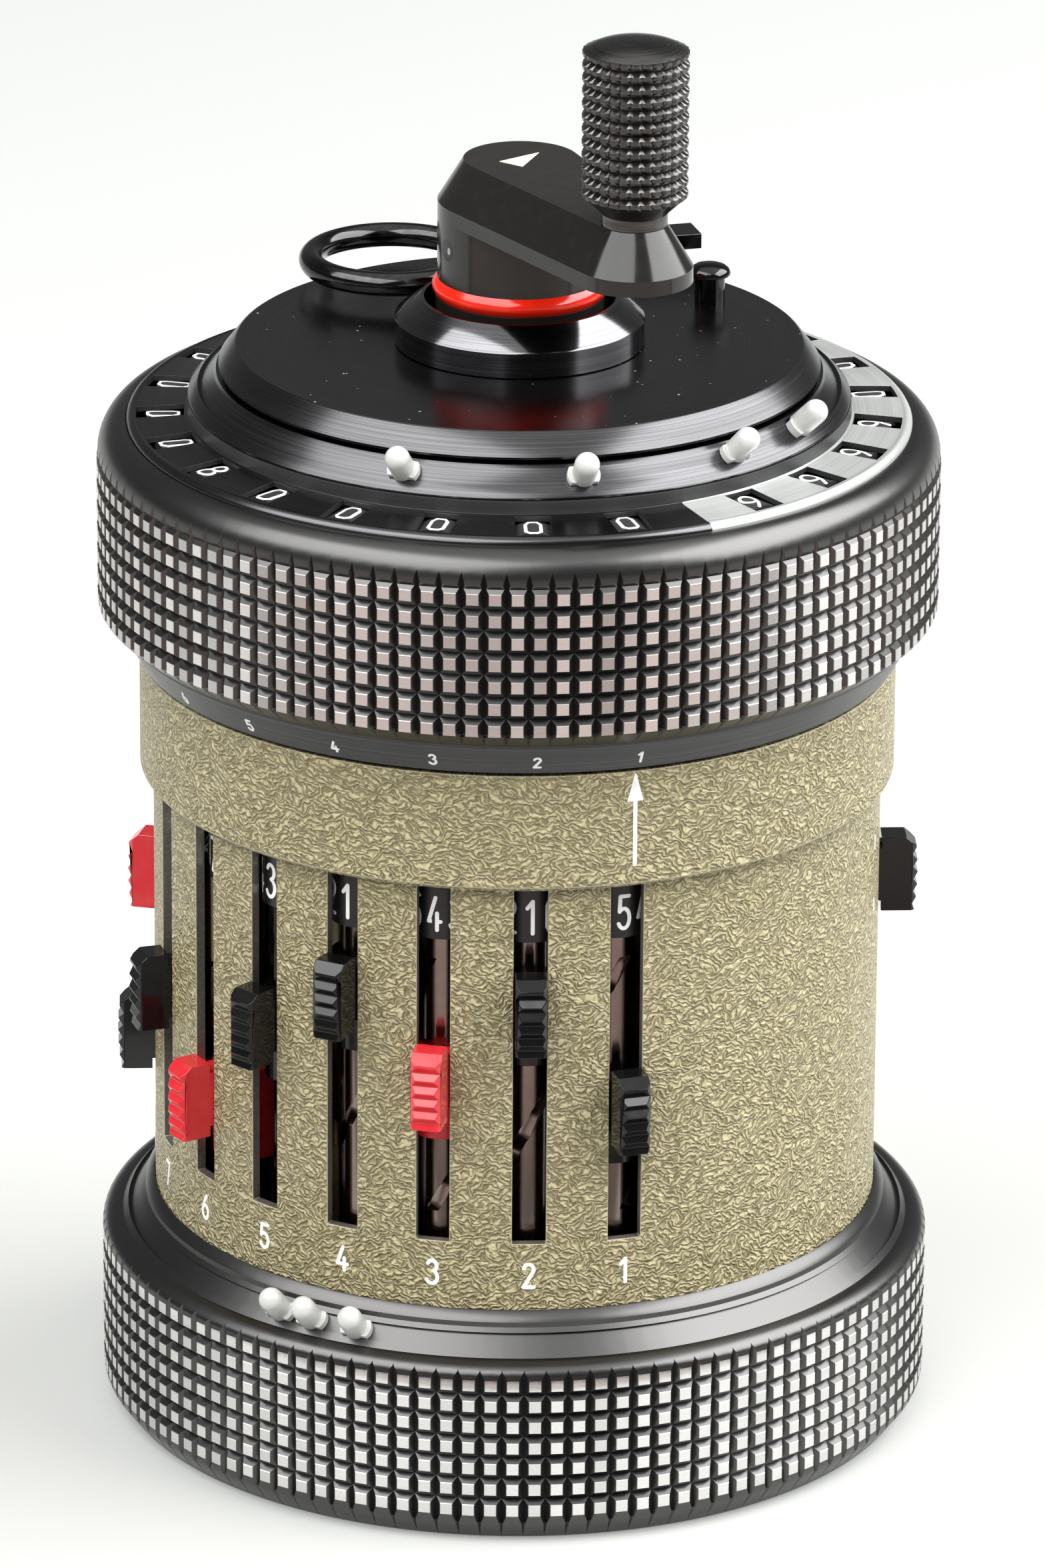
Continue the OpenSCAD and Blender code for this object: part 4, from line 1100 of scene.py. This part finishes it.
@dataclass
class Housing:
    """The painted tube with its slots, figures and arrow."""

    radius: float = 28.3
    inner: float = 27.5
    band: float = 29.3
    seat: float = 28.2
    foot: float = 12.0
    slot_low: float = 23.15
    slot_high: float = 52.2
    band_low: float = 52.3
    band_edge: float = 0.3
    plate_low: float = 57.5
    top: float = 61.6
    slot_half: float = 1.3
    slots: int = 11
    first: float = FIRST_SLOT
    pitch: float = PITCH
    lever_angle: float = 92.3
    lever_half: float = 1.3
    lever_low: float = 35.1
    lever_high: float = 45.3
    arc_step: float = 1.9
    number_z: float = 20.55
    mark_angle: float = 78.7
    mark_heights: Flat = (47.5, 42.3)
    mark_half: float = 0.45
    arrow_angle: float = 17.7
    arrow_foot: float = 54.0
    ink: float = 0.03

    def columns(self) -> tuple[list[Column], list[int], int]:
        """Lays out the shell's columns.

        Returns:
            The columns, the numbers of those where a slot starts, and that of the lever's.
        """
        centres = sorted([self.first - self.pitch * k for k in range(self.slots)] + [self.lever_angle])
        columns: list[Column] = []
        starts: list[int] = []
        lever = 0
        for number, centre in enumerate(centres):
            half = self.lever_half if centre == self.lever_angle else self.slot_half
            edge = math.degrees(math.asin(half / self.radius))
            if centre == self.lever_angle:
                lever = len(columns)
            else:
                starts.append(len(columns))
            columns += [Column(centre, -half), Column(centre), Column(centre, half)]
            following = centres[number + 1] if number + 1 < len(centres) else centres[0] + 360.0
            gap = following - centre - 2.0 * edge
            steps = max(2, round(gap / self.arc_step))
            columns += [Column(centre + edge + gap * k / steps) for k in range(1, steps)]
        return columns, starts, lever

    def build(self) -> None:
        """Makes the shell and all that is printed on it."""
        columns, starts, lever = self.columns()
        heights = [self.foot, self.slot_low, self.lever_low, self.lever_high, self.slot_high]
        outer = [(self.radius, z) for z in [*heights, self.band_low]]
        outer += [(self.band - self.band_edge, self.band_low), (self.band, self.band_low + self.band_edge)]
        outer += [(self.band, self.plate_low), (self.band, self.plate_low), (self.band, self.top)]
        inner = [(self.inner, z) for z in [*heights, self.band_low, self.band_low, self.band_low]]
        inner += [(self.inner, self.plate_low), (self.seat, self.plate_low), (self.seat, self.top)]
        openings = {(row, start + k) for start in starts for k in (0, 1) for row in (1, 2, 3)}
        openings |= {(2, lever), (2, lever + 1)}
        stock = PiercedShell(outer, inner, columns, openings).cut()
        shell = stock.piece("housing_shell", (Finish.CRINKLE, Finish.BARE_WALL, Finish.EDGE_PAINT), 30.0)
        soften(shell, 0.09, 2, 40.0)
        place(shell, "crinkle_paint", "root", "housing")
        self.figures()
        self.arrow()

    def figures(self) -> None:
        """Prints the slot numbers and the two marks beside the reversing lever."""
        stock = Stock()
        figures = Numerals(2.2, 0.3)
        for k in range(self.slots):
            figures.lay(stock, str(k + 1), on_tube(self.radius, self.first - self.pitch * k, self.number_z))
        mark = figures.ribbon([(0.0, -self.mark_half), (0.0, self.mark_half)])
        for z in self.mark_heights:
            figures.solid(stock, mark, on_tube(self.radius, self.mark_angle, z))
        printed(stock, "slot_numbers", "root")

    def arrow(self) -> None:
        """Prints the arrow on the band."""
        stock = Stock()
        mapper = on_tube(self.band, self.arrow_angle, self.arrow_foot)
        stem = [(-0.16, 0.0), (0.16, 0.0), (0.16, 5.4), (-0.16, 5.4)]
        head = [(-0.64, 5.2), (0.64, 5.2), (0.05, 7.4), (-0.05, 7.4)]
        for outline in (stem, head):
            stock.prism(*[[mapper(x, y, out) for x, y in outline] for out in (self.ink, -self.ink)])
        printed(stock, "band_arrow", "root")


@dataclass
class BaseRing:
    """The knurled ring under the housing, with its decimal markers."""

    radius: float = GRIP_RADIUS
    foot: float = 31.0
    cover: float = 28.1
    cover_top: float = 3.0
    ledge: float = 27.2
    shelf: float = 12.0
    bore: float = 28.35
    knurl_low: float = 2.75
    shoulder_low: float = 13.64
    shoulder_end: Flat = (30.9, 14.8)
    run: float = 1.3
    slit: Flat = (29.95, 15.75)
    lip: float = 29.1
    lip_top: float = 17.7
    markers: int = 3

    def build(self) -> None:
        """Makes the ring and its markers."""
        knurl = Knurl(self.radius, self.knurl_low)
        shoulder = bow((self.radius - 0.04, self.shoulder_low), self.shoulder_end, 10)
        lip = [(self.lip, 16.6), (self.lip, 17.0), (self.lip - 0.1, 17.15), (28.5, self.lip_top)]
        lip += [(28.4, self.lip_top + 0.05), (self.bore, self.lip_top)]
        inside = [(self.bore, self.shelf), (self.ledge, self.shelf)]
        inside += [(self.ledge, self.cover_top), (self.cover, self.cover_top)]
        profile = plain([(self.cover, 0.0), (self.foot, 0.0), (self.foot + 0.25, 0.15)])
        profile += [((self.radius - 0.1, 1.7), 0.6), *knurl.lands(), *run_out(shoulder[:-1], self.run)]
        profile += plain([shoulder[-1], *track(*self.slit), *lip, *inside])
        stock = Stock()
        knurl.roll(profile, stock)
        ring = stock.piece("base_ring_skin", (Finish.BASE_KNURL,), 28.0)
        place(ring, "black_metal", "root", "base_ring")
        for number in range(1, self.markers + 1):
            recast(f"base_marker_{number}", Finish.PEARL, "white_pin", 0.06, 50.0)


@dataclass
class SettingBank:
    """The eleven sliders with the drum shafts behind them, and the reversing lever."""

    red: tuple[int, ...] = (3, 6, 9)
    digits: tuple[int, ...] = (5, 1, 4, 1, 3, 7, 4, 7, 2, 0, 0)
    skew: tuple[float, ...] = (1.5, 1.0, -3.5, -4.0, -5.0, -5.0, -4.0, -3.0, 0.0, 0.0, 0.0)
    first: float = FIRST_SLOT
    pitch: float = PITCH
    shaft_circle: float = 24.6
    drum: float = 2.7
    digit_z: float = 49.5
    digit_turn: float = 36.0
    grip_front: float = 30.1
    grip_height: float = 6.1
    ridges: int = 5
    ridge_pitch: float = 1.03
    ridge_drop: float = 0.48
    ridge_depth: float = 0.2
    near: float = 0.02

    def build(self) -> None:
        """Makes the sliders, the shafts with their figures, and the lever."""
        for number in range(1, len(self.digits) + 1):
            finish = Finish.RED_PLASTIC if number in self.red else Finish.BLACK_PLASTIC
            self.grip(f"setting_slider_{number:02d}", finish)
            recast(f"setting_shaft_{number:02d}", Finish.SHAFT, "bronzed_steel", 0.0, 40.0)
            self.print_drum(number)
        self.grip("reversing_lever", Finish.BLACK_PLASTIC)

    def grip(self, node: str, finish: Finish) -> None:
        """Recasts a grip and evens its sawtooth ridges, by moving their inner corners down.

        Args:
            node: The slider or lever with the grip.
            finish: Its finish, which has its slot's name.
        """
        made = recast(node, finish, finish.name.lower(), 0.05, 38.0)
        front = [(spot, math.hypot(spot.co.x, spot.co.y) / MM) for spot in made.data.vertices]
        front = [(spot, reach) for spot, reach in front if reach > self.grip_front]
        top = max(spot.co.z for spot, _ in front) / MM
        for k in range(self.ridges):
            level = top - self.grip_height + self.ridge_pitch * (k + 1)
            held = [(spot, reach) for spot, reach in front if abs(spot.co.z / MM - level) < self.near]
            far = max((reach for _, reach in held), default=0.0)
            for spot, reach in held:
                if reach < far - self.ridge_depth:
                    spot.co.z -= self.ridge_pitch * self.ridge_drop * MM

    def print_drum(self, number: int) -> None:
        """Prints the ten figures of a slot's drum.

        Args:
            number: The slot's number.
        """
        figures = Numerals(2.9, 0.3, 0.8)
        angle = self.first - self.pitch * (number - 1)
        x, y, _ = round_about(self.shaft_circle, angle, 0.0)
        stock = Stock()
        for step in range(10):
            figure = str((self.digits[number - 1] + step) % 10)
            turn = angle + self.skew[number - 1] - self.digit_turn * step

            def mapper(right: float, up: float, out: float, turn: float = turn) -> Point:
                """Maps one point onto the drum."""
                roll = turn + math.degrees(right / self.drum)
                return round_about(self.drum + out, roll, self.digit_z + up, (x, y))

            figures.lay(stock, figure, mapper)
        printed(stock, f"drum_numbers_{number:02d}", body_of(f"setting_shaft_{number:02d}"))


@dataclass
class Carriage:
    """The carriage: knurled ring, index cone, window ring, dials and marker ring."""

    radius: float = GRIP_RADIUS
    low: float = 64.6
    foot: float = 31.0
    knurl_low: float = 66.3
    shoulder_low: float = 77.45
    shoulder_end: Flat = (30.27, 80.22)
    run: float = 2.2
    bore: float = 29.55
    seat: float = 28.9
    index_circle: float = 30.1
    index_z: float = 63.0
    index_lead: float = 0.6
    cone_low: Flat = (29.5, 61.95)
    cone_high: Flat = (30.9, 64.4)
    index_count: int = 8
    rim: float = 30.22
    ring: float = 25.5
    window_in: float = 25.75
    window_out: float = 29.45
    window_half: float = 1.35
    window_gap: float = 0.25
    joint: float = 0.02
    floor: float = 79.75
    crown: float = 82.05
    first: float = FIRST_SLOT
    pitch: float = PITCH
    counter_first: float = 39.8
    counter_margin: float = 11.25
    dial_circle: float = 27.35
    dial_z: float = 77.75
    dial: float = 2.9
    result_digits: str = "000008000000000"
    counter_digits: str = "99990000"
    slit: Flat = (24.2, 83.5)
    markers: int = 4

    def build(self) -> None:
        """Makes the carriage's pieces."""
        self.grip()
        self.index()
        results = [self.first - self.pitch * k for k in range(len(self.result_digits))]
        counters = [self.counter_first + self.pitch * k for k in range(len(self.counter_digits))]
        start, end = counters[0] - self.counter_margin, counters[-1] + self.counter_margin
        self.windows("counter_windows", Finish.SILVER, "silver_metal", (start, end), counters)
        self.windows("result_windows", Finish.TURNED_BLACK, "black_metal", (end - 360.0, start), results)
        self.figures("result_numbers", self.result_digits, results)
        self.figures("counter_numbers", self.counter_digits, counters)
        self.marker_ring()

    def grip(self) -> None:
        """Makes the knurled ring."""
        knurl = Knurl(self.radius, self.knurl_low)
        neck = (self.radius - 0.28, self.shoulder_low)
        shoulder = [neck, *bow((self.radius - 0.08, self.shoulder_low + 0.35), self.shoulder_end, 12)]
        inside = [(self.shoulder_end[0], 79.7), (self.seat, 79.7), (self.seat, 78.95), (self.bore, 78.95)]
        profile = plain([(self.bore, self.low), (self.foot, self.low)])
        profile += [((self.radius - 0.1, 65.75), 0.6), *knurl.lands(), *run_out(shoulder, self.run)]
        stock = Stock()
        knurl.roll([*profile, *plain(inside)], stock)
        ring = stock.piece("carriage_grip_skin", (Finish.RING_KNURL,), 28.0)
        place(ring, "black_metal", "carriage", "carriage_grip")

    def index(self) -> None:
        """Recasts the carriage body and prints the index numbers on its cone."""
        recast("carriage_body", Finish.INDEX_BLACK, "black_metal", 0.0, 25.0)
        figures = Numerals(1.25, 0.2, 1.1)
        stock = Stock()
        rise = (self.cone_high[0] - self.cone_low[0]) / (self.cone_high[1] - self.cone_low[1])
        for k in range(self.index_count):
            angle = self.first + self.index_lead - self.pitch * k
            figures.lay(stock, str(k + 1), on_tube(self.index_circle, angle, self.index_z, rise))
        printed(stock, "index_numbers", "carriage")

    def windows(self, node: str, finish: Finish, slot: str, span: Flat, centres: Sequence[float]) -> None:
        """Makes one stretch of the window ring.

        Args:
            node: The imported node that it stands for.
            finish: Its finish.
            slot: The record's material slot.
            span: Its first and last angle in degrees.
            centres: The angles of its windows.
        """
        columns = [Column(span[0] + self.joint)]
        starts: list[int] = []
        edge = math.degrees(math.asin(self.window_half / self.window_in)) + self.window_gap
        before = columns[0].angle
        for centre in sorted(centres):
            gap = centre - edge - before
            columns += [Column(before + gap * k / 4.0) for k in range(1, 4)]
            starts.append(len(columns))
            columns += [Column(centre, side * self.window_half) for side in (-1.0, 0.0, 1.0)]
            before = centre + edge
        gap = span[1] - self.joint - before
        columns += [Column(before + gap * k / 4.0) for k in range(1, 5)]
        top = [(24.75, self.crown), (self.ring, self.crown), (self.ring + 0.05, 81.05)]
        top += [(self.window_in, 80.96), (self.window_out, 80.74), (29.58, 80.73), (29.64, 80.77)]
        top += [(29.78, 80.76), (29.94, 80.68), (30.1, 80.52), (self.rim, 80.3), (self.rim, 80.05)]
        below = [(24.65, self.floor), (25.4, self.floor), (self.ring, 80.55)]
        below += [(self.window_in, 80.55), (self.window_out, 80.3), (29.58, 80.25), (29.64, 80.2)]
        below += [(29.72, 80.1), (29.8, 80.0), (29.9, 79.9), (30.0, self.floor), (30.1, self.floor)]
        window_row = top.index((self.window_in, 80.96))
        openings = {(window_row, first + k) for first in starts for k in (0, 1)}
        shell = PiercedShell(top, below, columns, openings, False).cut()
        made = shell.piece(f"{node}_skin", (finish, Finish.DIAL_BLACK), 40.0)
        for face in made.data.polygons:
            if math.hypot(face.center.x, face.center.y) < (self.ring + 0.1) * MM:
                face.material_index = 1
        soften(made, 0.07, -1, 45.0)
        place(made, slot, "carriage", node)

    def figures(self, name: str, digits: str, angles: Sequence[float]) -> None:
        """Prints the figures that show in one stretch's windows.

        Args:
            name: The piece's name.
            digits: The figures.
            angles: Their windows' angles.
        """
        figures = Numerals(2.62, 0.25, 1.21)
        stock = Stock()
        for digit, angle in zip(digits, angles):
            centre = round_about(self.dial_circle, angle, self.dial_z)
            figures.lay(stock, digit, on_drum(centre, self.dial, angle))
        printed(stock, name, "carriage")

    def marker_ring(self) -> None:
        """Makes the marker ring and its markers."""
        profile = [(18.6, 82.0), (20.6, 82.0), (20.6, 82.1), (25.4, 82.1), (25.45, 82.25), (25.4, 82.35)]
        profile += [*track(*self.slit)[:3], (23.4, 84.0), (23.3, 84.2), (18.6, 84.2)]
        turned("marker_ring", Finish.TURNED_BLACK, "black_metal", profile)
        for number in range(1, self.markers + 1):
            recast(f"carriage_marker_{number}", Finish.PEARL, "white_pin", 0.06, 50.0)


@dataclass
class ClearingTop:
    """The clearing plate with its lever and pins, and the collar inside it."""

    plate_low: float = 84.4
    plate_top: float = 86.34
    plate_bore: float = 8.65
    collar_low: float = 86.39
    collar_top: float = 89.97
    collar_bore: float = 7.35
    collar_radius: float = 9.6
    pivot: Flat = (6.5, 18.87)
    catch: Flat = (14.7, 10.0)

    def build(self) -> None:
        """Makes the plate, the collar and the lever."""
        plate = [(self.plate_bore, self.plate_low), (22.9, self.plate_low), (23.05, 84.5), (23.1, 84.7)]
        plate += [(21.9, 86.24), (21.75, self.plate_top), (self.plate_bore, self.plate_top)]
        turned("clearing_plate", Finish.PLATE_BLACK, "black_metal", plate)
        collar = [(self.collar_bore, self.collar_low), (9.55, self.collar_low), (self.collar_radius, 86.45)]
        collar += [(self.collar_radius, 88.35), (9.52, 88.5), (7.7, 89.9), (7.6, self.collar_top)]
        turned("collar", Finish.COLLAR_BLACK, "black_metal", [*collar, (self.collar_bore, self.collar_top)])
        recast("clearing_lever", Finish.GUNMETAL, "gunmetal", 0.22, 40.0)
        self.pins()

    def pins(self) -> None:
        """Makes the lever's pivot with its rivet head, and the mushroom-headed catch pin."""
        stock = Stock()
        rivet = [(0.0, -1.4), (1.0, -1.4), (1.0, 0.0), (1.6, 0.0), (1.6, 1.25), (1.0, 1.25), (1.0, 2.55)]
        rivet += [(1.55, 2.55), (1.6, 2.62), (1.55, 2.78), (1.3, 2.95), (0.8, 3.03), (0.0, 3.05)]
        catch = [(0.0, -1.4), (1.0, -1.4), (1.0, 0.0), (1.18, 0.0), (1.18, 2.2), (1.55, 2.2), (1.62, 2.3)]
        catch += [(1.6, 2.5), (1.45, 2.75), (1.15, 2.96), (0.65, 3.1), (0.0, 3.15)]
        for profile, axis in ((rivet, self.pivot), (catch, self.catch)):
            stock.lathe([(radius, self.plate_top + z) for radius, z in profile], 48, axis)
        made = stock.piece("clearing_pins_skin", (Finish.GUNMETAL,), 40.0)
        place(made, "steel", body_of("clearing_plate_pins"), "clearing_plate_pins")


@dataclass
class Crank:
    """The crank with its hub, red band, knob and set screw."""

    hub: float = 6.35
    roof: float = 100.95
    band_bore: float = 6.03
    band_low: float = 90.22
    band_tall: float = 1.43
    band_bulge: float = 0.4
    knob_radius: float = 4.0
    knob_bore: float = 1.35
    knob_neck: float = 2.5
    knob_low: float = 101.0
    knob_deep: float = 112.3
    screw_angle: float = -62.0
    screw_z: float = 94.5
    screw_steps: int = 24

    def build(self) -> None:
        """Makes the crank's pieces."""
        recast("crank_arm", Finish.CRANK_BLACK, "black_metal", 0.16, 30.0)
        self.band()
        self.knob()
        self.screw()
        self.pointer()

    def band(self) -> None:
        """Makes the convex red band."""
        top = self.band_low + self.band_tall
        bulge = [
            (self.hub + self.band_bulge * math.sin(math.pi * k / 8), self.band_low + self.band_tall * k / 8)
            for k in range(9)
        ]
        profile = [(self.band_bore, self.band_low), *bulge, (self.band_bore, top)]
        turned("red_band", Finish.RED_ENAMEL, "red_plastic", profile, 40.0)

    def knob(self) -> None:
        """Makes the knurled knob."""
        knurl = Knurl(
            self.knob_radius, 103.4, columns=28, rows=12, pitch=0.99, land=0.3,
            groove=0.45, width=0.5, depth=0.17, axis=KNOB_AXIS,
        )
        neck = [(0.0, self.knob_deep), (self.knob_bore, self.knob_deep), (self.knob_bore, self.knob_low)]
        neck += [(self.knob_neck, self.knob_low), (self.knob_neck, 101.85), (2.7, 102.1)]
        dome = [(3.86, 114.48), (3.75, 114.55), (3.0, 114.88), (2.2, 115.11), (1.4, 115.25)]
        dome += [(0.7, 115.32), (0.0, 115.34)]
        stock = Stock()
        knurl.roll([*plain(neck), ((3.65, 103.0), 0.6), *knurl.lands(), *plain(dome)], stock, False)
        made = stock.piece("crank_knob_skin", (Finish.KNOB_BLACK,), 25.0)
        place(made, "black_metal", "knob", "crank_knob")

    def screw(self) -> None:
        """Makes the set screw in the hub's side, as a dark disc of painted shade in its socket, with a
        small steel spot as a painted glint.
        """
        turn = math.radians(self.screw_angle)
        out = Vector((math.sin(turn), -math.cos(turn), 0.0))
        side = Vector((math.cos(turn), math.sin(turn), 0.0))

        def hoop(reach: float, depth: float, aside: float = 0.0) -> list[Point]:
            """Bends a circle round the hub's side.

            Args:
                reach: Its radius.
                depth: How far it stands out of the side.
                aside: How far it lies to the right of the screw's middle.

            Returns:
                The circle's points.
            """
            row = []
            for k in range(self.screw_steps):
                around = TURN * k / self.screw_steps
                right = aside + reach * math.cos(around)
                up = self.screw_z + (1.0 + aside) * reach * math.sin(around)
                across = side * right + Vector((0.0, 0.0, up))
                sink = self.hub * (1.0 - math.cos(right / self.hub))
                row.append(tuple(out * (self.hub + depth - sink) + across))
            return row

        stock = Stock()
        # Painted shade: a dark disc stands where the socket holds only shade.
        socket = ((0.0, -0.3), (0.85, -0.3), (0.85, 0.01), (0.75, 0.025), (0.0, 0.02))
        stock.sheet([hoop(*spot) for spot in socket], True, False, 1)
        # Painted glint: a small steel spot to the right of the socket's middle.
        spot = ((0.0, 0.0, 0.4), (0.2, 0.0, 0.4), (0.2, 0.03, 0.4), (0.0, 0.035, 0.4))
        stock.sheet([hoop(*corner) for corner in spot], True, False)
        place(stock.piece("set_screw", (Finish.STEEL, Finish.DIAL_BLACK), 40.0), "black_metal", "crank")

    def pointer(self) -> None:
        """Prints the cream triangle on the hub's roof."""
        corners = ((-1.62, -1.0), (0.13, -2.26), (1.38, 1.37))
        stock = Stock()
        stock.prism(*[[(x, y, self.roof + out) for x, y in corners] for out in (0.03, -0.05)])
        printed(stock, "crank_pointer", "crank", Finish.CREAM_INK)


@dataclass
class Inside:
    """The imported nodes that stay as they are."""

    steel: tuple[str, ...] = (
        "bottom_screws", "transmission_shafts", "main_shaft", "ratchet_wheel", "ratchet_pawl",
        "carriage_spring", "dial_axles", "knob_stud",
    )
    brass: tuple[str, ...] = ("lower_bearing_plate", "upper_bearing_plate", "centre_column", "stepped_drum")
    dials: tuple[str, ...] = ("result_dials", "counter_dials")
    black: tuple[str, ...] = ("bottom_cover", "carriage_bush")

    def build(self) -> None:
        """Dresses the nodes."""
        dress(self.steel, Finish.STEEL)
        dress(self.brass, Finish.BRASS)
        dress(self.dials, Finish.DIAL_BLACK)
        dress(self.black, Finish.TURNED_BLACK)
        LOG.info("inner nodes dressed")


@dataclass
class Studio:
    """Camera, lamps, floor and world of the product shot."""

    elevation: float = 20.5644
    distance: float = 816.78
    target: float = 50.025
    roll: float = 0.3658
    lens: float = 240.87
    shift: float = 0.00361
    sight: float = 20.0
    floor_half: float = 6.0
    card_low: Flat = (-0.35, -0.75)
    card_high: Flat = (0.35, -0.075)
    card_z: float = 0.0005
    lamps: tuple[tuple[str, float, float, float], ...] = (
        ("lamp_left", -49.0, 48.0, 7.6),
        ("lamp_right", 88.0, 42.0, 11.8),
    )
    lamp_size: Flat = (0.9, 0.52)
    lamp_reach: float = 0.7
    lamp_aim: float = 0.055

    def build(self) -> None:
        """Sets up the shot."""
        self.camera()
        self.floor()
        self.card()
        self.world()
        for lamp in self.lamps:
            self.lamp(*lamp)
        bpy.context.scene.view_settings.view_transform = "Standard"
        LOG.info("studio ready")

    def camera(self) -> None:
        """Sets the camera at the photograph's view."""
        data = bpy.data.cameras.new("camera")
        data.lens = self.lens
        data.shift_x = self.shift
        data.clip_end = self.sight
        made = bpy.data.objects.new("camera", data)
        bpy.context.scene.collection.objects.link(made)
        lift = math.radians(self.elevation)
        back = Vector(round_about(math.cos(lift), 0.0, math.sin(lift)))
        spot = back * self.distance + Vector((0.0, 0.0, self.target))
        tilt = Matrix.Rotation(math.pi / 2.0 - lift, 4, "X")
        lean = Matrix.Rotation(math.radians(self.roll), 4, "Z")
        made.matrix_world = Matrix.Translation(spot * MM) @ (tilt @ lean)
        bpy.context.scene.camera = made

    def floor(self) -> None:
        """Lays the pale floor, a little brighter to the camera and in mirrors than it lights the object."""
        shader = Shader("floor")
        x, y, _ = shader.parts(shader.place())
        cloud = shader.noise(shader.place(), 0.01) * 0.1 + y.step(0.0, 420.0) * 0.9
        light = shader.node("ShaderNodeLightPath", {}, {})
        kinds = ("Camera", "Glossy", "Transmission")
        rays = [Sock(shader, light.outputs[f"Is {kind} Ray"]) for kind in kinds]
        seen = shader.maths("MAXIMUM", shader.maths("MAXIMUM", rays[0], rays[1]), rays[2])
        far = ((x ** 2.0 + y ** 2.0) ** 0.5).step(300.0, 1400.0)
        glow = shader.blend(far, (0.2, 0.21, 0.2), (0.5, 0.52, 0.5))
        paper = shader.finish({
            "Base Color": shader.blend(cloud, (0.40, 0.40, 0.39), (0.42, 0.43, 0.42)),
            "Roughness": 0.7,
            "Emission Color": shader.blend(seen, (0.0, 0.0, 0.0), glow),
            "Emission Strength": 1.0,
        })
        half = self.floor_half
        self.sheet("floor", (-half, -half), (half, half), 0.0, paper)

    def card(self) -> None:
        """Lays a warm card in front that only mirrors see, for the front of the metal."""
        shader = Shader("card")
        _, y, _ = shader.parts(shader.place())
        near = (-y).step(75.0, 120.0) * (1.0 - (-y).step(350.0, 700.0))
        paper = shader.finish({
            "Base Color": (0.0, 0.0, 0.0, 1.0),
            "Emission Color": shader.blend(near, (0.1, 0.1, 0.1), (0.86, 0.72, 0.67)),
            "Emission Strength": 1.0,
        })
        made = self.sheet("card", self.card_low, self.card_high, self.card_z, paper)
        made.visible_camera = False
        made.visible_diffuse = False
        made.visible_shadow = False

    def sheet(
        self, name: str, low: Flat, high: Flat, z: float, owner: bpy.types.Material
    ) -> bpy.types.Object:
        """Lays a level rectangle of the stage.

        Args:
            name: Its name.
            low: Its first corner in metres.
            high: The corner across.
            z: Its height in metres.
            owner: Its material.

        Returns:
            The object, in the scene.
        """
        mesh = bpy.data.meshes.new(name)
        corners = [(low[0], low[1], z), (high[0], low[1], z), (high[0], high[1], z), (low[0], high[1], z)]
        mesh.from_pydata(corners, [], [(0, 1, 2, 3)])
        mesh.materials.append(owner)
        made = bpy.data.objects.new(name, mesh)
        bpy.context.scene.collection.objects.link(made)
        return made

    def world(self) -> None:
        """Sets a dim room that is lit above and behind."""
        shader = Shader("studio", True)
        bpy.context.scene.world = shader.owner
        _, y, z = shader.parts(shader.out("Generated", "ShaderNodeTexCoord", {}, {}))
        back = y.step(0.1, 0.5) * (1.0 - z.step(0.4, 0.7))
        room = shader.blend(back, (0.12, 0.12, 0.122), (0.16, 0.16, 0.16))
        room = shader.blend(z.step(0.65, 0.92), room, (1.1, 1.1, 1.09))
        sky = shader.out(0, "ShaderNodeBackground", {}, {"Color": room, "Strength": 1.0})
        shader.node("ShaderNodeOutputWorld", {}, {"Surface": sky})

    def lamp(self, name: str, angle: float, elevation: float, power: float) -> None:
        """Hangs a soft box that looks at the object.

        Args:
            name: The lamp's name.
            angle: Its angle in degrees from the front.
            elevation: Its height above the level, in degrees.
            power: Its power in watts.
        """
        data = bpy.data.lights.new(name, "AREA")
        data.shape = "RECTANGLE"
        data.size, data.size_y = self.lamp_size
        data.energy = power
        made = bpy.data.objects.new(name, data)
        bpy.context.scene.collection.objects.link(made)
        lift = math.radians(elevation)
        side = Vector(round_about(math.cos(lift), angle, math.sin(lift)))
        made.location = Vector((0.0, 0.0, self.lamp_aim)) + side * self.lamp_reach
        made.rotation_euler = side.to_track_quat("Z", "Y").to_euler()


def main() -> None:
    """Builds the sub-assemblies in order, and the studio."""
    logging.basicConfig(level=logging.INFO, format="%(message)s")
    parts = (Housing(), BaseRing(), SettingBank(), Carriage(), ClearingTop(), Crank(), Inside(), Studio())
    for part in parts:
        LOG.info("building %s", type(part).__name__)
        part.build()


if __name__ == "__main__":
    main()
